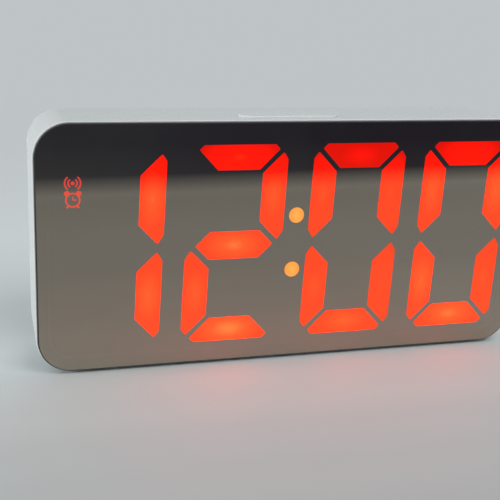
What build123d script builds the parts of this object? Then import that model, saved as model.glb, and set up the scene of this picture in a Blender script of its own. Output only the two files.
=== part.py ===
"""Digital LED desk clock with a mirrored front over four large digits, in a white two-part case.

Millimetres. +Z is up and the front looks along -Y. The origin lies under the middle of the clock,
on the surface that its feet stand on. Depths are counted from the panel's front face to the back,
and heights from the middle of the case.
"""
import os
from math import pi, radians, tan

from build123d import *

os.makedirs("parts", exist_ok=True)

# Front panel
panel_width = 163.2
panel_height = 78.0
panel_corner = 10.6
panel_thickness = 2.0
panel_bevel = 0.35
tape_inset = 0.9
tape_width = 2.4
tape_thickness = 0.3

# Case
case_lip = 0.3
case_depth = 34.0
wall = 2.0
frame_depth = 2.8
flange_thickness = 1.4
window_inset = 4.5
tongue_thickness = 0.8
tongue_reach = 2.0
lip_round = 0.25
parting_chamfer = 0.25
back_round = 3.5
draft_degrees = 1.0

# Clearances
bonded_gap = 0.05
seat_gap = 0.1
loose_gap = 0.2
cut_overrun = 1.0

# Feet
foot_height = 0.6
foot_recess = 1.0
foot_radius = 4.0
foot_end_inset = 23.6
foot_front_depth = 9.5
foot_back_inset = 7.0
foot_round = 0.2

# Digits
digit_width_share = 0.19424
digit_height_share = 0.82308
digit_lean_share = 0.036
digit_pitch_share = 0.2367
colon_pitch_share = 0.2462
segment_width = 8.06
segment_corner = 0.5
bar_inset = 2.82
bar_tip = 1.56
bar_inner_inset = 9.1
post_shoulder = 4.76
post_tip_in = 1.55
post_tip_drop = 2.45
post_inner_drop = 9.06
post_foot_rise = 1.15
post_foot_in = 1.82
post_foot_shoulder = 3.05
post_inner_rise = 7.48
middle_half = 4.56
middle_inset = 3.18
colon_radius = 2.6
colon_rise = 9.04

# Alarm sign, where the first digit has no upper left segment
sign_left = 7.3
sign_drop = 0.54
sign_width = 7.8
sign_height = 10.2
sign_corner = 0.6
sign_plate = 1.0
sign_relief = 0.4
bell_ring_radius = 2.05
bell_ring_width = 0.5
bell_ring_rise = 2.75
ear_radius = 0.85
ear_spread = 1.75
ear_rise = 4.75
hand_width = 0.35
hand_length = 1.1
stub_width = 0.6
stub_length = 1.0
stub_spread = 1.5
wave_rise = 7.9
wave_dot_radius = 0.6
wave_first_radius = 1.35
wave_step = 1.0
wave_width = 0.5
wave_degrees = 96

# Light frame and display board
light_frame_depth = 7.0
light_frame_corner = 8.0
lens_thickness = 1.6
display_board_thickness = 1.6
display_board_inset = 2.2
led_length = 2.0
led_width = 1.25
led_height = 0.8
led_spread_share = 0.27

# Screws
case_screw_radius = 1.0
case_screw_head = 1.9
case_screw_head_height = 1.4
case_screw_bite = 5.0
small_screw_radius = 0.8
small_screw_head = 1.6
small_screw_head_height = 1.1
small_screw_bite = 4.0
cross_slot_width = 0.5
cross_slot_depth = 0.5
corner_inset = 6.4
frame_boss_radius = 1.9
shell_boss_radius = 3.3
shell_boss_floor = 3.0
post_radius = 2.2

# Snooze button
button_length = 33.0
button_width = 8.4
button_depth = 10.6
button_offset = -0.8
button_proud = 0.6
button_round = 0.4
button_travel = 0.6
button_flange = 0.7
button_flange_thickness = 1.2
button_heel_length = 10.0
button_heel_reach = 8.2
button_post_radius = 1.6
button_post_depth = 18.4

# Tact switches, all alike
switch_side = 6.0
switch_height = 3.5
switch_corner = 0.5
plunger_radius = 1.7
plunger_proud = 1.0
plunger_sink = 0.8

# Snooze board, under the button
snooze_board_drop = 10.5
snooze_board_thickness = 1.6
snooze_board_width = 56.0
snooze_board_front = 14.6
snooze_board_back = 24.2
snooze_screw_inset = 4.0

# Key board, behind the back wall
key_board_thickness = 1.6
key_board_height = 14.0
key_board_margin = 6.1
over_key_board_share = 0.5277
board_screw_inset = 2.5

# Rear keys
key_pitch = 12.0
first_key_place = -36.0
key_length = 8.0
key_width = 5.0
key_proud = 1.0
key_round = 0.4
key_flange = 1.0
key_flange_thickness = 1.0

# Brightness slider
slider_place = 13.0
slider_body_length = 9.0
slider_body_width = 3.8
slider_knob_length = 2.6
slider_knob_width = 1.8
slider_travel = 1.8
slider_proud = 0.7
slider_sink = 0.7
slider_well = 1.0
slider_grip_width = 0.35
slider_grip_depth = 0.25

# Power socket
socket_place = 28.0
socket_length = 8.9
socket_width = 3.3
socket_metal = 0.3
socket_base = 1.2
socket_setback = 0.6
tongue_length = 6.6
tongue_plate = 0.7
tongue_setback = 0.9
contact_strip_width = 0.3
contact_strip_pitch = 0.9
contact_strip_count = 6
contact_strip_thickness = 0.06

# Buzzer
buzzer_place = 42.0
buzzer_radius = 5.8
buzzer_port_radius = 1.0
buzzer_port_depth = 1.0
buzzer_round = 0.4
sound_hole_radius = 0.65
sound_ring_radius = 3.0
sound_hole_count = 6

# Chips, crystal and ribbon on the boards
chip_length = 10.3
chip_width = 7.5
chip_height = 2.0
chip_lead_width = 0.45
chip_lead_reach = 1.1
chip_lead_height = 0.5
chip_lead_pitch = 1.27
chip_lead_count = 8
clock_chip_place = -16.0
driver_chip_place = 40.0
chip_rise = -4.0
crystal_radius = 1.0
crystal_length = 6.0
crystal_drop = 9.0
header_length = 11.0
header_width = 3.2
header_height = 3.0
header_place = 6.0
display_header_drop = 4.5
ribbon_width = 8.4
ribbon_thickness = 0.8
ribbon_bend_share = 0.6

# Battery bay
cell_radius = 5.25
cell_length = 44.5
cell_nub_radius = 1.9
cell_nub_length = 0.8
cell_edge_round = 0.5
cell_gap = 0.3
contact_space = 1.7
contact_thickness = 0.4
contact_width = 7.6
contact_bow = 0.9
tray_wall = 1.4
tray_floor = 1.2
under_door_share = 0.2786
tray_depth_gap = 0.6
contact_tail_width = 2.2
contact_tail_reach = 1.6

# Battery door
door_thickness = 1.6
door_ledge = 2.4
door_gap = 0.25
door_corner = 2.0
collar_wall = 1.4
collar_depth = 3.6
lug_width = 6.0
lug_spread = 14.0
lug_reach = 1.5
lug_rise = 0.4
lug_height = 1.4
lug_thickness = 1.2
lip_gap = 0.2
grip_count = 4
grip_pitch = 2.2
grip_width = 0.9
grip_proud = 0.4
grip_length = 16.0
grip_drop = 5.0
notch_radius = 5.0
notch_depth = 1.0

# Wires
lead_radius = 0.6
lead_bend = 2.0
snooze_lead_inset = 8.0
snooze_lead_drop = 7.7
snooze_lead_bend = 3.2
battery_lead_reach = 6.4
battery_lead_drop = 3.4
battery_lead_step = 3.2

# Worked out from the sizes above
case_height = panel_height + 2 * case_lip
case_middle = foot_height + case_height / 2
case_top = case_height / 2
rear_proud = key_proud
front_y = -(case_depth + rear_proud) / 2
parting_depth = panel_thickness + frame_depth
inner_back_depth = case_depth - wall
light_frame_front = panel_thickness + seat_gap
display_board_front = light_frame_front + light_frame_depth
display_board_back = display_board_front + display_board_thickness
light_frame_inset = window_inset + loose_gap
plunger_well = plunger_sink + button_travel + seat_gap
half_width = digit_width_share * panel_width / 2
half_height = digit_height_share * panel_height / 2
inner_digit = colon_pitch_share * panel_width / 2
outer_digit = inner_digit + digit_pitch_share * panel_width
key_flange_back = inner_back_depth - seat_gap
key_flange_front = key_flange_back - key_flange_thickness
switch_top_depth = key_flange_front - plunger_proud
key_board_back = switch_top_depth - switch_height
key_board_front = key_board_back - key_board_thickness
snooze_board_top = case_top - snooze_board_drop
snooze_board_bottom = snooze_board_top - snooze_board_thickness
tray_width = cell_length + 2 * contact_space
tray_height = 6 * cell_radius + 4 * cell_gap
tray_back = case_depth - door_thickness
tray_front = tray_back - 2 * cell_radius - tray_depth_gap
cell_depth = tray_front + tray_depth_gap / 2 + cell_radius
door_width = tray_width + 2 * door_ledge
door_height = tray_height + 2 * door_ledge
spare_height = case_height - door_height - key_board_height
door_bottom = under_door_share * spare_height - case_top
tray_rise = door_bottom + door_height / 2
key_row_rise = case_top - over_key_board_share * spare_height - key_board_height / 2
key_board_left = first_key_place - key_length / 2 - key_board_margin
key_board_right = buzzer_place + buzzer_radius + key_board_margin
display_header_rise = key_row_rise - display_header_drop
corner_places = [
    (across * (panel_width / 2 - corner_inset), up * (panel_height / 2 - corner_inset))
    for across in (-1, 1)
    for up in (-1, 1)
]


def seen_from_front(depth):
    """A plane at a depth behind the panel's face: x to the right, y up, forwards out of it."""
    return Plane(origin=(0, front_y + depth, case_middle), x_dir=(1, 0, 0), z_dir=(0, -1, 0))


def seen_from_back(depth):
    """The same plane seen from behind: x to the left side of the front, y up, backwards out of it."""
    return Plane(origin=(0, front_y + depth, case_middle), x_dir=(-1, 0, 0), z_dir=(0, 1, 0))


def seen_from_top(height):
    """A level plane at a height above the case's middle: x to the right, y is the depth."""
    return Plane(origin=(0, front_y, case_middle + height), x_dir=(1, 0, 0), z_dir=(0, 0, 1))


def seen_from_side(place):
    """An upright plane across the clock: x is the depth, y up, and it faces the left side."""
    return Plane(origin=(place, front_y, case_middle), x_dir=(0, 1, 0), z_dir=(1, 0, 0))


def panel_outline(inset, mode=Mode.ADD):
    """The clock's rounded front outline, drawn in by an inset."""
    RectangleRounded(panel_width - 2 * inset, panel_height - 2 * inset, panel_corner - inset, mode=mode)


def finish(piece, name):
    """Name a finished piece and write it."""
    piece.part.label = name
    export_step(piece.part, f"parts/{name}.step")


def cut_cross(plane, places):
    """Cut a cross slot into each screw head whose top lies in a plane."""
    slot_length = 2 * small_screw_radius + cross_slot_width
    with BuildSketch(plane) as crosses:
        with Locations(*places):
            Rectangle(slot_length, cross_slot_width)
            Rectangle(cross_slot_width, slot_length)
    extrude(crosses.sketch, amount=-cross_slot_depth, mode=Mode.SUBTRACT)


def add_screws(head_plane, places, shank_radius, shank_length, head_radius, head_height):
    """Add screws whose heads bear on a plane and whose shanks go into it."""
    with BuildSketch(head_plane) as heads:
        with Locations(*places):
            Circle(head_radius)
    extrude(heads.sketch, amount=head_height)
    with BuildSketch(head_plane) as shanks:
        with Locations(*places):
            Circle(shank_radius)
    extrude(shanks.sketch, amount=-shank_length)
    cut_cross(head_plane.offset(head_height), places)


# Digit outlines, about the middle of a digit
top_bar = [
    (-half_width + bar_inset, half_height - bar_tip),
    (-half_width + bar_inset + bar_tip, half_height),
    (half_width - bar_inset - bar_tip, half_height),
    (half_width - bar_inset, half_height - bar_tip),
    (half_width - bar_inner_inset, half_height - segment_width),
    (-half_width + bar_inner_inset, half_height - segment_width),
]
right_post = [
    (half_width, half_height - post_shoulder),
    (half_width - post_tip_in, half_height - post_tip_drop),
    (half_width - segment_width, half_height - post_inner_drop),
    (half_width - segment_width, post_inner_rise),
    (half_width - post_foot_in, post_foot_rise),
    (half_width, post_foot_rise + post_foot_shoulder),
]
middle_bar = [
    (-half_width + middle_inset, 0),
    (-half_width + middle_inset + middle_half, middle_half),
    (half_width - middle_inset - middle_half, middle_half),
    (half_width - middle_inset, 0),
    (half_width - middle_inset - middle_half, -middle_half),
    (-half_width + middle_inset + middle_half, -middle_half),
]
segment_outlines = {
    "top": top_bar,
    "upper_right": right_post,
    "lower_right": [(x, -y) for x, y in right_post],
    "bottom": [(x, -y) for x, y in top_bar],
    "lower_left": [(-x, -y) for x, y in right_post],
    "upper_left": [(-x, y) for x, y in right_post],
    "middle": middle_bar,
}
bar_line = half_height - segment_width / 2
post_line = half_width - segment_width / 2
post_centre = half_height / 2
led_step = led_spread_share * half_height / 2
led_spots = {
    "top": [(-led_step, bar_line), (led_step, bar_line)],
    "upper_right": [(post_line, post_centre - led_step), (post_line, post_centre + led_step)],
    "lower_right": [(post_line, -post_centre - led_step), (post_line, -post_centre + led_step)],
    "bottom": [(-led_step, -bar_line), (led_step, -bar_line)],
    "lower_left": [(-post_line, -post_centre - led_step), (-post_line, -post_centre + led_step)],
    "upper_left": [(-post_line, post_centre - led_step), (-post_line, post_centre + led_step)],
    "middle": [(-led_step, 0), (led_step, 0)],
}
digits = {
    "hours_tens": (-outer_digit, [name for name in segment_outlines if name != "upper_left"]),
    "hours_ones": (-inner_digit, list(segment_outlines)),
    "minutes_tens": (inner_digit, list(segment_outlines)),
    "minutes_ones": (outer_digit, list(segment_outlines)),
}
colon_spots = [(digit_lean_share * rise, rise) for rise in (-colon_rise, colon_rise)]
sign_place = (
    -panel_width / 2 + sign_left + sign_width / 2,
    half_height - segment_width - sign_drop - sign_height / 2,
)


def lean(points, centre):
    """Slant points of an upright digit and move them to the digit's centre."""
    return [(centre + x + digit_lean_share * y, y) for x, y in points]


def segment_shape(points, inset):
    """A segment's outline with its corners rounded, drawn in by an inset."""
    with BuildSketch() as shape:
        Polygon(*points, align=None)
        fillet(shape.vertices(), segment_corner)
        if inset:
            offset(amount=-inset)
    return shape.sketch


# Mirror panel and its tape
with BuildPart() as mirror_panel:
    with BuildSketch(seen_from_back(0)):
        panel_outline(0)
    extrude(amount=panel_thickness)
    chamfer(mirror_panel.edges().group_by(Axis.Y)[0], panel_bevel)
finish(mirror_panel, "mirror_panel")

with BuildPart() as panel_tape:
    with BuildSketch(seen_from_back(panel_thickness)):
        panel_outline(tape_inset)
        panel_outline(tape_inset + tape_width, Mode.SUBTRACT)
    extrude(amount=tape_thickness)
finish(panel_tape, "panel_tape")

# Front frame: a rim with a flange that carries the panel, a tongue and four screw bosses
with BuildPart() as front_frame:
    with BuildSketch(seen_from_back(panel_thickness)):
        panel_outline(-case_lip)
    extrude(amount=frame_depth)
    chamfer(front_frame.edges().group_by(Axis.Y)[-1], parting_chamfer)
    fillet(front_frame.edges().group_by(Axis.Y)[0], lip_round)
    with BuildSketch(seen_from_back(panel_thickness + flange_thickness)):
        panel_outline(wall - case_lip)
    extrude(amount=frame_depth, mode=Mode.SUBTRACT)
    with BuildSketch(seen_from_back(panel_thickness + flange_thickness)):
        panel_outline(wall - case_lip + loose_gap)
        panel_outline(wall - case_lip + loose_gap + tongue_thickness, Mode.SUBTRACT)
    extrude(amount=tongue_reach)
    with BuildSketch(seen_from_back(panel_thickness)):
        panel_outline(window_inset)
    extrude(amount=frame_depth, mode=Mode.SUBTRACT)
    with BuildSketch(seen_from_back(panel_thickness)):
        panel_outline(tape_inset - bonded_gap)
        panel_outline(tape_inset + tape_width + bonded_gap, Mode.SUBTRACT)
    extrude(amount=tape_thickness, mode=Mode.SUBTRACT)
    with BuildSketch(seen_from_back(panel_thickness + tape_thickness)):
        with Locations(*corner_places):
            Circle(frame_boss_radius)
    extrude(amount=display_board_front - panel_thickness - tape_thickness)
    with BuildSketch(seen_from_back(display_board_front)):
        with Locations(*corner_places):
            Circle(case_screw_radius + bonded_gap)
    extrude(amount=-(case_screw_bite + bonded_gap), mode=Mode.SUBTRACT)
finish(front_frame, "front_frame")

# Light frame: a black block with a well behind each segment
display_screw_places = lean(
    [(0, -bar_line), (0, bar_line)], (inner_digit + outer_digit) / 2
) + lean([(0, -bar_line), (0, bar_line)], -(inner_digit + outer_digit) / 2)

with BuildPart() as light_frame:
    with BuildSketch(seen_from_back(light_frame_front)):
        RectangleRounded(
            panel_width - 2 * light_frame_inset, panel_height - 2 * light_frame_inset, light_frame_corner
        )
        with Locations(*corner_places):
            Circle(frame_boss_radius + loose_gap, mode=Mode.SUBTRACT)
    extrude(amount=light_frame_depth)
    with BuildSketch(seen_from_front(light_frame_front)):
        for centre, names in digits.values():
            for name in names:
                add(segment_shape(lean(segment_outlines[name], centre), 0))
        with Locations(*colon_spots):
            Circle(colon_radius)
    extrude(amount=-light_frame_depth, mode=Mode.SUBTRACT)
    with BuildSketch(seen_from_front(light_frame_front)):
        with Locations(sign_place):
            RectangleRounded(sign_width, sign_height, sign_corner)
    extrude(amount=-(sign_plate + sign_relief), mode=Mode.SUBTRACT)
    with BuildSketch(seen_from_front(light_frame_front)):
        with Locations(sign_place):
            Circle(bell_ring_radius)
    extrude(amount=-light_frame_depth, mode=Mode.SUBTRACT)
    with BuildSketch(seen_from_front(display_board_front)):
        with Locations(*display_screw_places):
            Circle(small_screw_radius + bonded_gap)
    extrude(amount=small_screw_bite + bonded_gap, mode=Mode.SUBTRACT)
finish(light_frame, "light_frame")

# Diffusing lenses of the four digits
for digit_name, (centre, names) in digits.items():
    with BuildPart() as lenses:
        with BuildSketch(seen_from_front(light_frame_front)):
            for name in names:
                add(segment_shape(lean(segment_outlines[name], centre), bonded_gap))
        extrude(amount=-lens_thickness)
    finish(lenses, f"{digit_name}_lenses")

with BuildPart() as colon_lenses:
    with BuildSketch(seen_from_front(light_frame_front)):
        with Locations(*colon_spots):
            Circle(colon_radius - bonded_gap)
    extrude(amount=-lens_thickness)
finish(colon_lenses, "colon_lenses")

# Alarm sign: a ringing clock in relief on a translucent plate
with BuildPart() as alarm_sign:
    with BuildSketch(seen_from_front(light_frame_front + sign_relief)):
        with Locations(sign_place):
            RectangleRounded(sign_width - 2 * bonded_gap, sign_height - 2 * bonded_gap, sign_corner)
    extrude(amount=-sign_plate)
    sign_bottom = sign_place[1] - sign_height / 2
    ring_centre = (sign_place[0], sign_bottom + bell_ring_rise)
    ear_centres = [(sign_place[0] + side * ear_spread, sign_bottom + ear_rise) for side in (-1, 1)]
    stub_centres = [
        (sign_place[0] + side * stub_spread, ring_centre[1] - bell_ring_radius) for side in (-1, 1)
    ]
    wave_centre = (sign_place[0], sign_bottom + wave_rise)
    with BuildSketch(seen_from_front(light_frame_front + sign_relief)):
        with Locations(*ear_centres):
            Circle(ear_radius)
        with Locations(ring_centre):
            Circle(bell_ring_radius + bell_ring_width / 2)
            Circle(bell_ring_radius - bell_ring_width / 2, mode=Mode.SUBTRACT)
            Rectangle(hand_width, hand_length, align=(Align.CENTER, Align.MIN))
            Rectangle(hand_length, hand_width, align=(Align.MIN, Align.CENTER))
        for side, stub_centre in zip((-1, 1), stub_centres):
            with Locations(Location((*stub_centre, 0), (0, 0, side * wave_degrees / 2))):
                Rectangle(stub_width, stub_length)
        with Locations(wave_centre):
            Circle(wave_dot_radius)
        for ring in range(2):
            for side in (0, 180):
                with BuildLine():
                    CenterArc(
                        wave_centre, wave_first_radius + ring * wave_step, side - wave_degrees / 2, wave_degrees
                    )
                    offset(amount=wave_width / 2)
                make_face()
    extrude(amount=sign_relief)
finish(alarm_sign, "alarm_sign")

# Display board with its light chips
with BuildPart() as display_board:
    with BuildSketch(seen_from_back(display_board_front)):
        panel_outline(display_board_inset)
        with Locations(*corner_places):
            Circle(case_screw_radius + loose_gap, mode=Mode.SUBTRACT)
        with Locations((-button_offset, panel_height / 2)):
            Rectangle(
                button_length + 4 * button_flange, 2 * light_frame_inset, mode=Mode.SUBTRACT
            )
    extrude(amount=display_board_thickness)
    with BuildSketch(seen_from_front(display_board_front)):
        with Locations(*display_screw_places):
            Circle(small_screw_radius + loose_gap)
    extrude(amount=-display_board_thickness, mode=Mode.SUBTRACT)
finish(display_board, "display_board")

with BuildPart() as led_chips:
    with BuildSketch(seen_from_front(display_board_front)):
        for centre, names in digits.values():
            for name in names:
                with Locations(*lean(led_spots[name], centre)):
                    Rectangle(led_width, led_length)
        with Locations(*colon_spots, sign_place):
            Rectangle(led_width, led_length)
    extrude(amount=led_height)
finish(led_chips, "led_chips")

with BuildPart() as display_screws:
    add_screws(
        seen_from_back(display_board_back),
        [(-x, y) for x, y in display_screw_places],
        small_screw_radius,
        display_board_thickness + small_screw_bite,
        small_screw_head,
        small_screw_head_height,
    )
finish(display_screws, "display_screws")


def add_chip(plane, place):
    """Add a small outline chip with two rows of leads, standing on a board's face."""
    with BuildSketch(plane) as body:
        with Locations(place):
            Rectangle(chip_length, chip_width)
    extrude(body.sketch, amount=chip_height)
    with BuildSketch(plane) as leads:
        with Locations(place):
            with GridLocations(chip_lead_pitch, chip_width + chip_lead_reach, chip_lead_count, 2):
                Rectangle(chip_lead_width, chip_lead_reach)
    extrude(leads.sketch, amount=chip_lead_height)


with BuildPart() as control_chips:
    for place in (clock_chip_place, driver_chip_place, -driver_chip_place):
        add_chip(seen_from_back(display_board_back), (place, chip_rise))
finish(control_chips, "control_chips")

with BuildPart() as crystal:
    crystal_plane = seen_from_side(-clock_chip_place - crystal_length / 2)
    with BuildSketch(crystal_plane):
        with Locations((display_board_back + crystal_radius, chip_rise - crystal_drop)):
            Circle(crystal_radius)
    extrude(amount=crystal_length)
finish(crystal, "crystal")

# Rear shell: the case's hollow back with its bosses, battery tray and openings
row = seen_from_back(inner_back_depth)
key_places = [(first_key_place + number * key_pitch, key_row_rise) for number in range(4)]
board_screw_places = [
    (
        across,
        key_row_rise + up * (key_board_height / 2 - board_screw_inset),
    )
    for across in (key_board_left + board_screw_inset, key_board_right - board_screw_inset)
    for up in (-1, 1)
]
snooze_post_places = [
    (side * (snooze_board_width / 2 - snooze_screw_inset), (snooze_board_front + snooze_board_back) / 2)
    for side in (-1, 1)
]
foot_places = [
    (side * (panel_width / 2 - foot_end_inset), depth)
    for side in (-1, 1)
    for depth in (foot_front_depth, case_depth - foot_back_inset)
]
sound_places = [(0, 0)] + [
    (ring.position.X, ring.position.Y)
    for ring in PolarLocations(sound_ring_radius, sound_hole_count)
]
contact_tail_depth = tray_front + tray_depth_gap / 2 + contact_tail_width
lower_cell_rise = tray_rise - 2 * cell_radius - cell_gap
upper_cell_rise = tray_rise + 2 * cell_radius + cell_gap

with BuildPart() as rear_shell:
    with BuildSketch(seen_from_back(parting_depth)):
        panel_outline(-case_lip)
    extrude(amount=case_depth - parting_depth, taper=draft_degrees)
    fillet(rear_shell.edges().group_by(Axis.Y)[-1], back_round)
    chamfer(rear_shell.edges().group_by(Axis.Y)[0], parting_chamfer)
    with BuildSketch(seen_from_back(parting_depth)):
        panel_outline(wall - case_lip)
    extrude(amount=inner_back_depth - parting_depth, taper=draft_degrees, mode=Mode.SUBTRACT)

    # Corner bosses and snooze posts, sunk half a wall into what carries them
    with BuildSketch(seen_from_back(display_board_back)):
        with Locations(*corner_places):
            Circle(shell_boss_radius)
    extrude(amount=inner_back_depth - display_board_back + wall / 2)
    with BuildSketch(seen_from_top(snooze_board_top)):
        with Locations(*snooze_post_places):
            Circle(post_radius)
    extrude(amount=case_top - wall / 2 - snooze_board_top)
    with BuildSketch(seen_from_back(key_board_back)):
        with Locations(*board_screw_places):
            Circle(post_radius)
    extrude(amount=inner_back_depth - key_board_back + wall / 2)

    # Battery tray with a thicker collar round its door
    with BuildSketch(seen_from_back(tray_front - tray_floor)):
        with Locations((0, tray_rise)):
            Rectangle(tray_width + 2 * tray_wall, tray_height + 2 * tray_wall)
    extrude(amount=inner_back_depth + wall / 2 - tray_front + tray_floor)
    with BuildSketch(seen_from_back(case_depth - collar_depth)):
        with Locations((0, tray_rise)):
            RectangleRounded(door_width + 2 * collar_wall, door_height + 2 * collar_wall, door_corner)
    extrude(amount=collar_depth - wall / 2)
    with BuildSketch(seen_from_back(tray_front)):
        with Locations((0, tray_rise)):
            Rectangle(tray_width, tray_height)
    extrude(amount=case_depth - tray_front, mode=Mode.SUBTRACT)
    with BuildSketch(seen_from_back(case_depth - door_thickness)):
        with Locations((0, tray_rise)):
            RectangleRounded(door_width + 2 * door_gap, door_height + 2 * door_gap, door_corner)
    extrude(amount=door_thickness, mode=Mode.SUBTRACT)

    # Pockets for the door's two lugs, behind the lip under the door
    for side in (-1, 1):
        with BuildSketch(seen_from_side(side * lug_spread - lug_width / 2 - loose_gap)):
            with BuildLine():
                pocket_front = case_depth - collar_depth - cut_overrun
                pocket_top = door_bottom + lug_reach + collar_depth
                pocket_low = door_bottom - lug_reach - cut_overrun
                Polyline(
                    (pocket_front, pocket_low),
                    (inner_back_depth, pocket_low),
                    (inner_back_depth, door_bottom - door_gap),
                    (tray_back, door_bottom - door_gap),
                    (tray_back, pocket_top),
                    (pocket_front, pocket_top),
                    close=True,
                )
            make_face()
        extrude(amount=lug_width + 2 * loose_gap, mode=Mode.SUBTRACT)

    # Screw holes in the bosses and posts
    with BuildSketch(seen_from_back(display_board_back + shell_boss_floor)):
        with Locations(*corner_places):
            Circle(case_screw_head + loose_gap)
    extrude(amount=case_depth, mode=Mode.SUBTRACT)
    with BuildSketch(seen_from_back(display_board_back)):
        with Locations(*corner_places):
            Circle(case_screw_radius + loose_gap)
    extrude(amount=shell_boss_floor, mode=Mode.SUBTRACT)
    with BuildSketch(seen_from_back(key_board_back)):
        with Locations(*board_screw_places):
            Circle(small_screw_radius + bonded_gap)
    extrude(amount=small_screw_bite + bonded_gap, mode=Mode.SUBTRACT)
    with BuildSketch(seen_from_top(snooze_board_top)):
        with Locations(*snooze_post_places):
            Circle(small_screw_radius + bonded_gap)
    extrude(amount=small_screw_bite + bonded_gap, mode=Mode.SUBTRACT)

    # Openings in the walls
    with BuildSketch(seen_from_top(case_top - wall - cut_overrun)):
        with Locations((button_offset, button_depth)):
            SlotOverall(button_length + 2 * loose_gap, button_width + 2 * loose_gap)
    extrude(amount=wall + 2 * cut_overrun, mode=Mode.SUBTRACT)
    with BuildSketch(row):
        with Locations(*key_places):
            SlotOverall(key_length + 2 * loose_gap, key_width + 2 * loose_gap)
        with Locations((slider_place, key_row_rise)):
            SlotOverall(
                slider_knob_length + 2 * slider_travel + 2 * slider_knob_width,
                slider_knob_width + 2 * loose_gap,
            )
        with Locations((socket_place, key_row_rise)):
            SlotOverall(socket_length + 2 * loose_gap, socket_width + 2 * loose_gap)
        for across, up in sound_places:
            with Locations((buzzer_place + across, key_row_rise + up)):
                Circle(sound_hole_radius)
    extrude(amount=wall, mode=Mode.SUBTRACT)
    with BuildSketch(seen_from_top(-case_top - foot_height)):
        with Locations(*foot_places):
            Circle(foot_radius + bonded_gap)
    extrude(amount=foot_height + foot_recess, mode=Mode.SUBTRACT)
    for side in (-1, 1):
        tail_plane = seen_from_side(side * (tray_width / 2 + tray_wall / 2) - tray_wall)
        tail_rise = upper_cell_rise if side > 0 else lower_cell_rise
        with BuildSketch(tail_plane):
            with Locations((contact_tail_depth, tail_rise)):
                Rectangle(contact_tail_width + 2 * bonded_gap, contact_thickness + 2 * bonded_gap)
        extrude(amount=2 * tray_wall, mode=Mode.SUBTRACT)

    # Finger notch over the door
    with BuildSketch(seen_from_back(case_depth - notch_depth)):
        with Locations((0, tray_rise + door_height / 2)):
            Circle(notch_radius)
            Rectangle(
                2 * notch_radius + cut_overrun,
                notch_radius + cut_overrun,
                align=(Align.CENTER, Align.MAX),
                mode=Mode.SUBTRACT,
            )
    extrude(amount=notch_depth, mode=Mode.SUBTRACT)
finish(rear_shell, "rear_shell")

with BuildPart() as case_screws:
    add_screws(
        seen_from_back(display_board_back + shell_boss_floor),
        corner_places,
        case_screw_radius,
        shell_boss_floor + display_board_thickness + case_screw_bite,
        case_screw_head,
        case_screw_head_height,
    )
finish(case_screws, "case_screws")

with BuildPart() as rubber_feet:
    with BuildSketch(seen_from_top(-case_top - foot_height)):
        with Locations(*foot_places):
            Circle(foot_radius)
    extrude(amount=foot_height + foot_recess)
    fillet(rubber_feet.edges().group_by(Axis.Z)[0], foot_round)
finish(rubber_feet, "rubber_feet")

# Snooze button, its switch and its board
button_heel_depth = button_depth + button_width / 2 + button_heel_reach
ceiling_fall = (button_heel_depth - parting_depth) * tan(radians(draft_degrees))
button_flange_top = case_top - wall - ceiling_fall - seat_gap
button_flange_bottom = button_flange_top - button_flange_thickness
snooze_switch_top = snooze_board_top + switch_height
snooze_plunger_top = snooze_switch_top + plunger_proud

with BuildPart() as snooze_button:
    with BuildSketch(seen_from_top(button_flange_top)):
        with Locations((button_offset, button_depth)):
            SlotOverall(button_length, button_width)
    extrude(amount=case_top + button_proud - button_flange_top)
    fillet(snooze_button.edges().group_by(Axis.Z)[-1], button_round)
    with BuildSketch(seen_from_top(button_flange_bottom)):
        with Locations((button_offset, button_depth)):
            SlotOverall(button_length + 2 * button_flange, button_width + 2 * button_flange)
            Rectangle(
                button_heel_length, button_width / 2 + button_heel_reach, align=(Align.CENTER, Align.MIN)
            )
    extrude(amount=button_flange_thickness)
    with BuildSketch(seen_from_top(snooze_plunger_top)):
        with Locations((button_offset, button_post_depth)):
            Circle(button_post_radius)
    extrude(amount=button_flange_bottom - snooze_plunger_top)
finish(snooze_button, "snooze_button")

with BuildPart() as snooze_plunger:
    with BuildSketch(seen_from_top(snooze_switch_top - plunger_sink)):
        with Locations((button_offset, button_post_depth)):
            Circle(plunger_radius)
    extrude(amount=plunger_sink + plunger_proud)
finish(snooze_plunger, "snooze_plunger")

with BuildPart() as snooze_switch:
    with BuildSketch(seen_from_top(snooze_board_top)):
        with Locations((button_offset, button_post_depth)):
            RectangleRounded(switch_side, switch_side, switch_corner)
    extrude(amount=switch_height)
    with BuildSketch(seen_from_top(snooze_switch_top - plunger_well)):
        with Locations((button_offset, button_post_depth)):
            Circle(plunger_radius + seat_gap)
    extrude(amount=plunger_well, mode=Mode.SUBTRACT)
finish(snooze_switch, "snooze_switch")

with BuildPart() as snooze_board:
    with BuildSketch(seen_from_top(snooze_board_bottom)):
        with Locations((0, snooze_board_front)):
            Rectangle(
                snooze_board_width,
                snooze_board_back - snooze_board_front,
                align=(Align.CENTER, Align.MIN),
            )
        with Locations(*snooze_post_places):
            Circle(small_screw_radius + loose_gap, mode=Mode.SUBTRACT)
    extrude(amount=snooze_board_thickness)
finish(snooze_board, "snooze_board")

with BuildPart() as snooze_screws:
    add_screws(
        Plane(
            origin=(0, front_y, case_middle + snooze_board_bottom), x_dir=(1, 0, 0), z_dir=(0, 0, -1)
        ),
        [(place, -depth) for place, depth in snooze_post_places],
        small_screw_radius,
        snooze_board_thickness + small_screw_bite,
        small_screw_head,
        small_screw_head_height,
    )
finish(snooze_screws, "snooze_screws")

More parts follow.
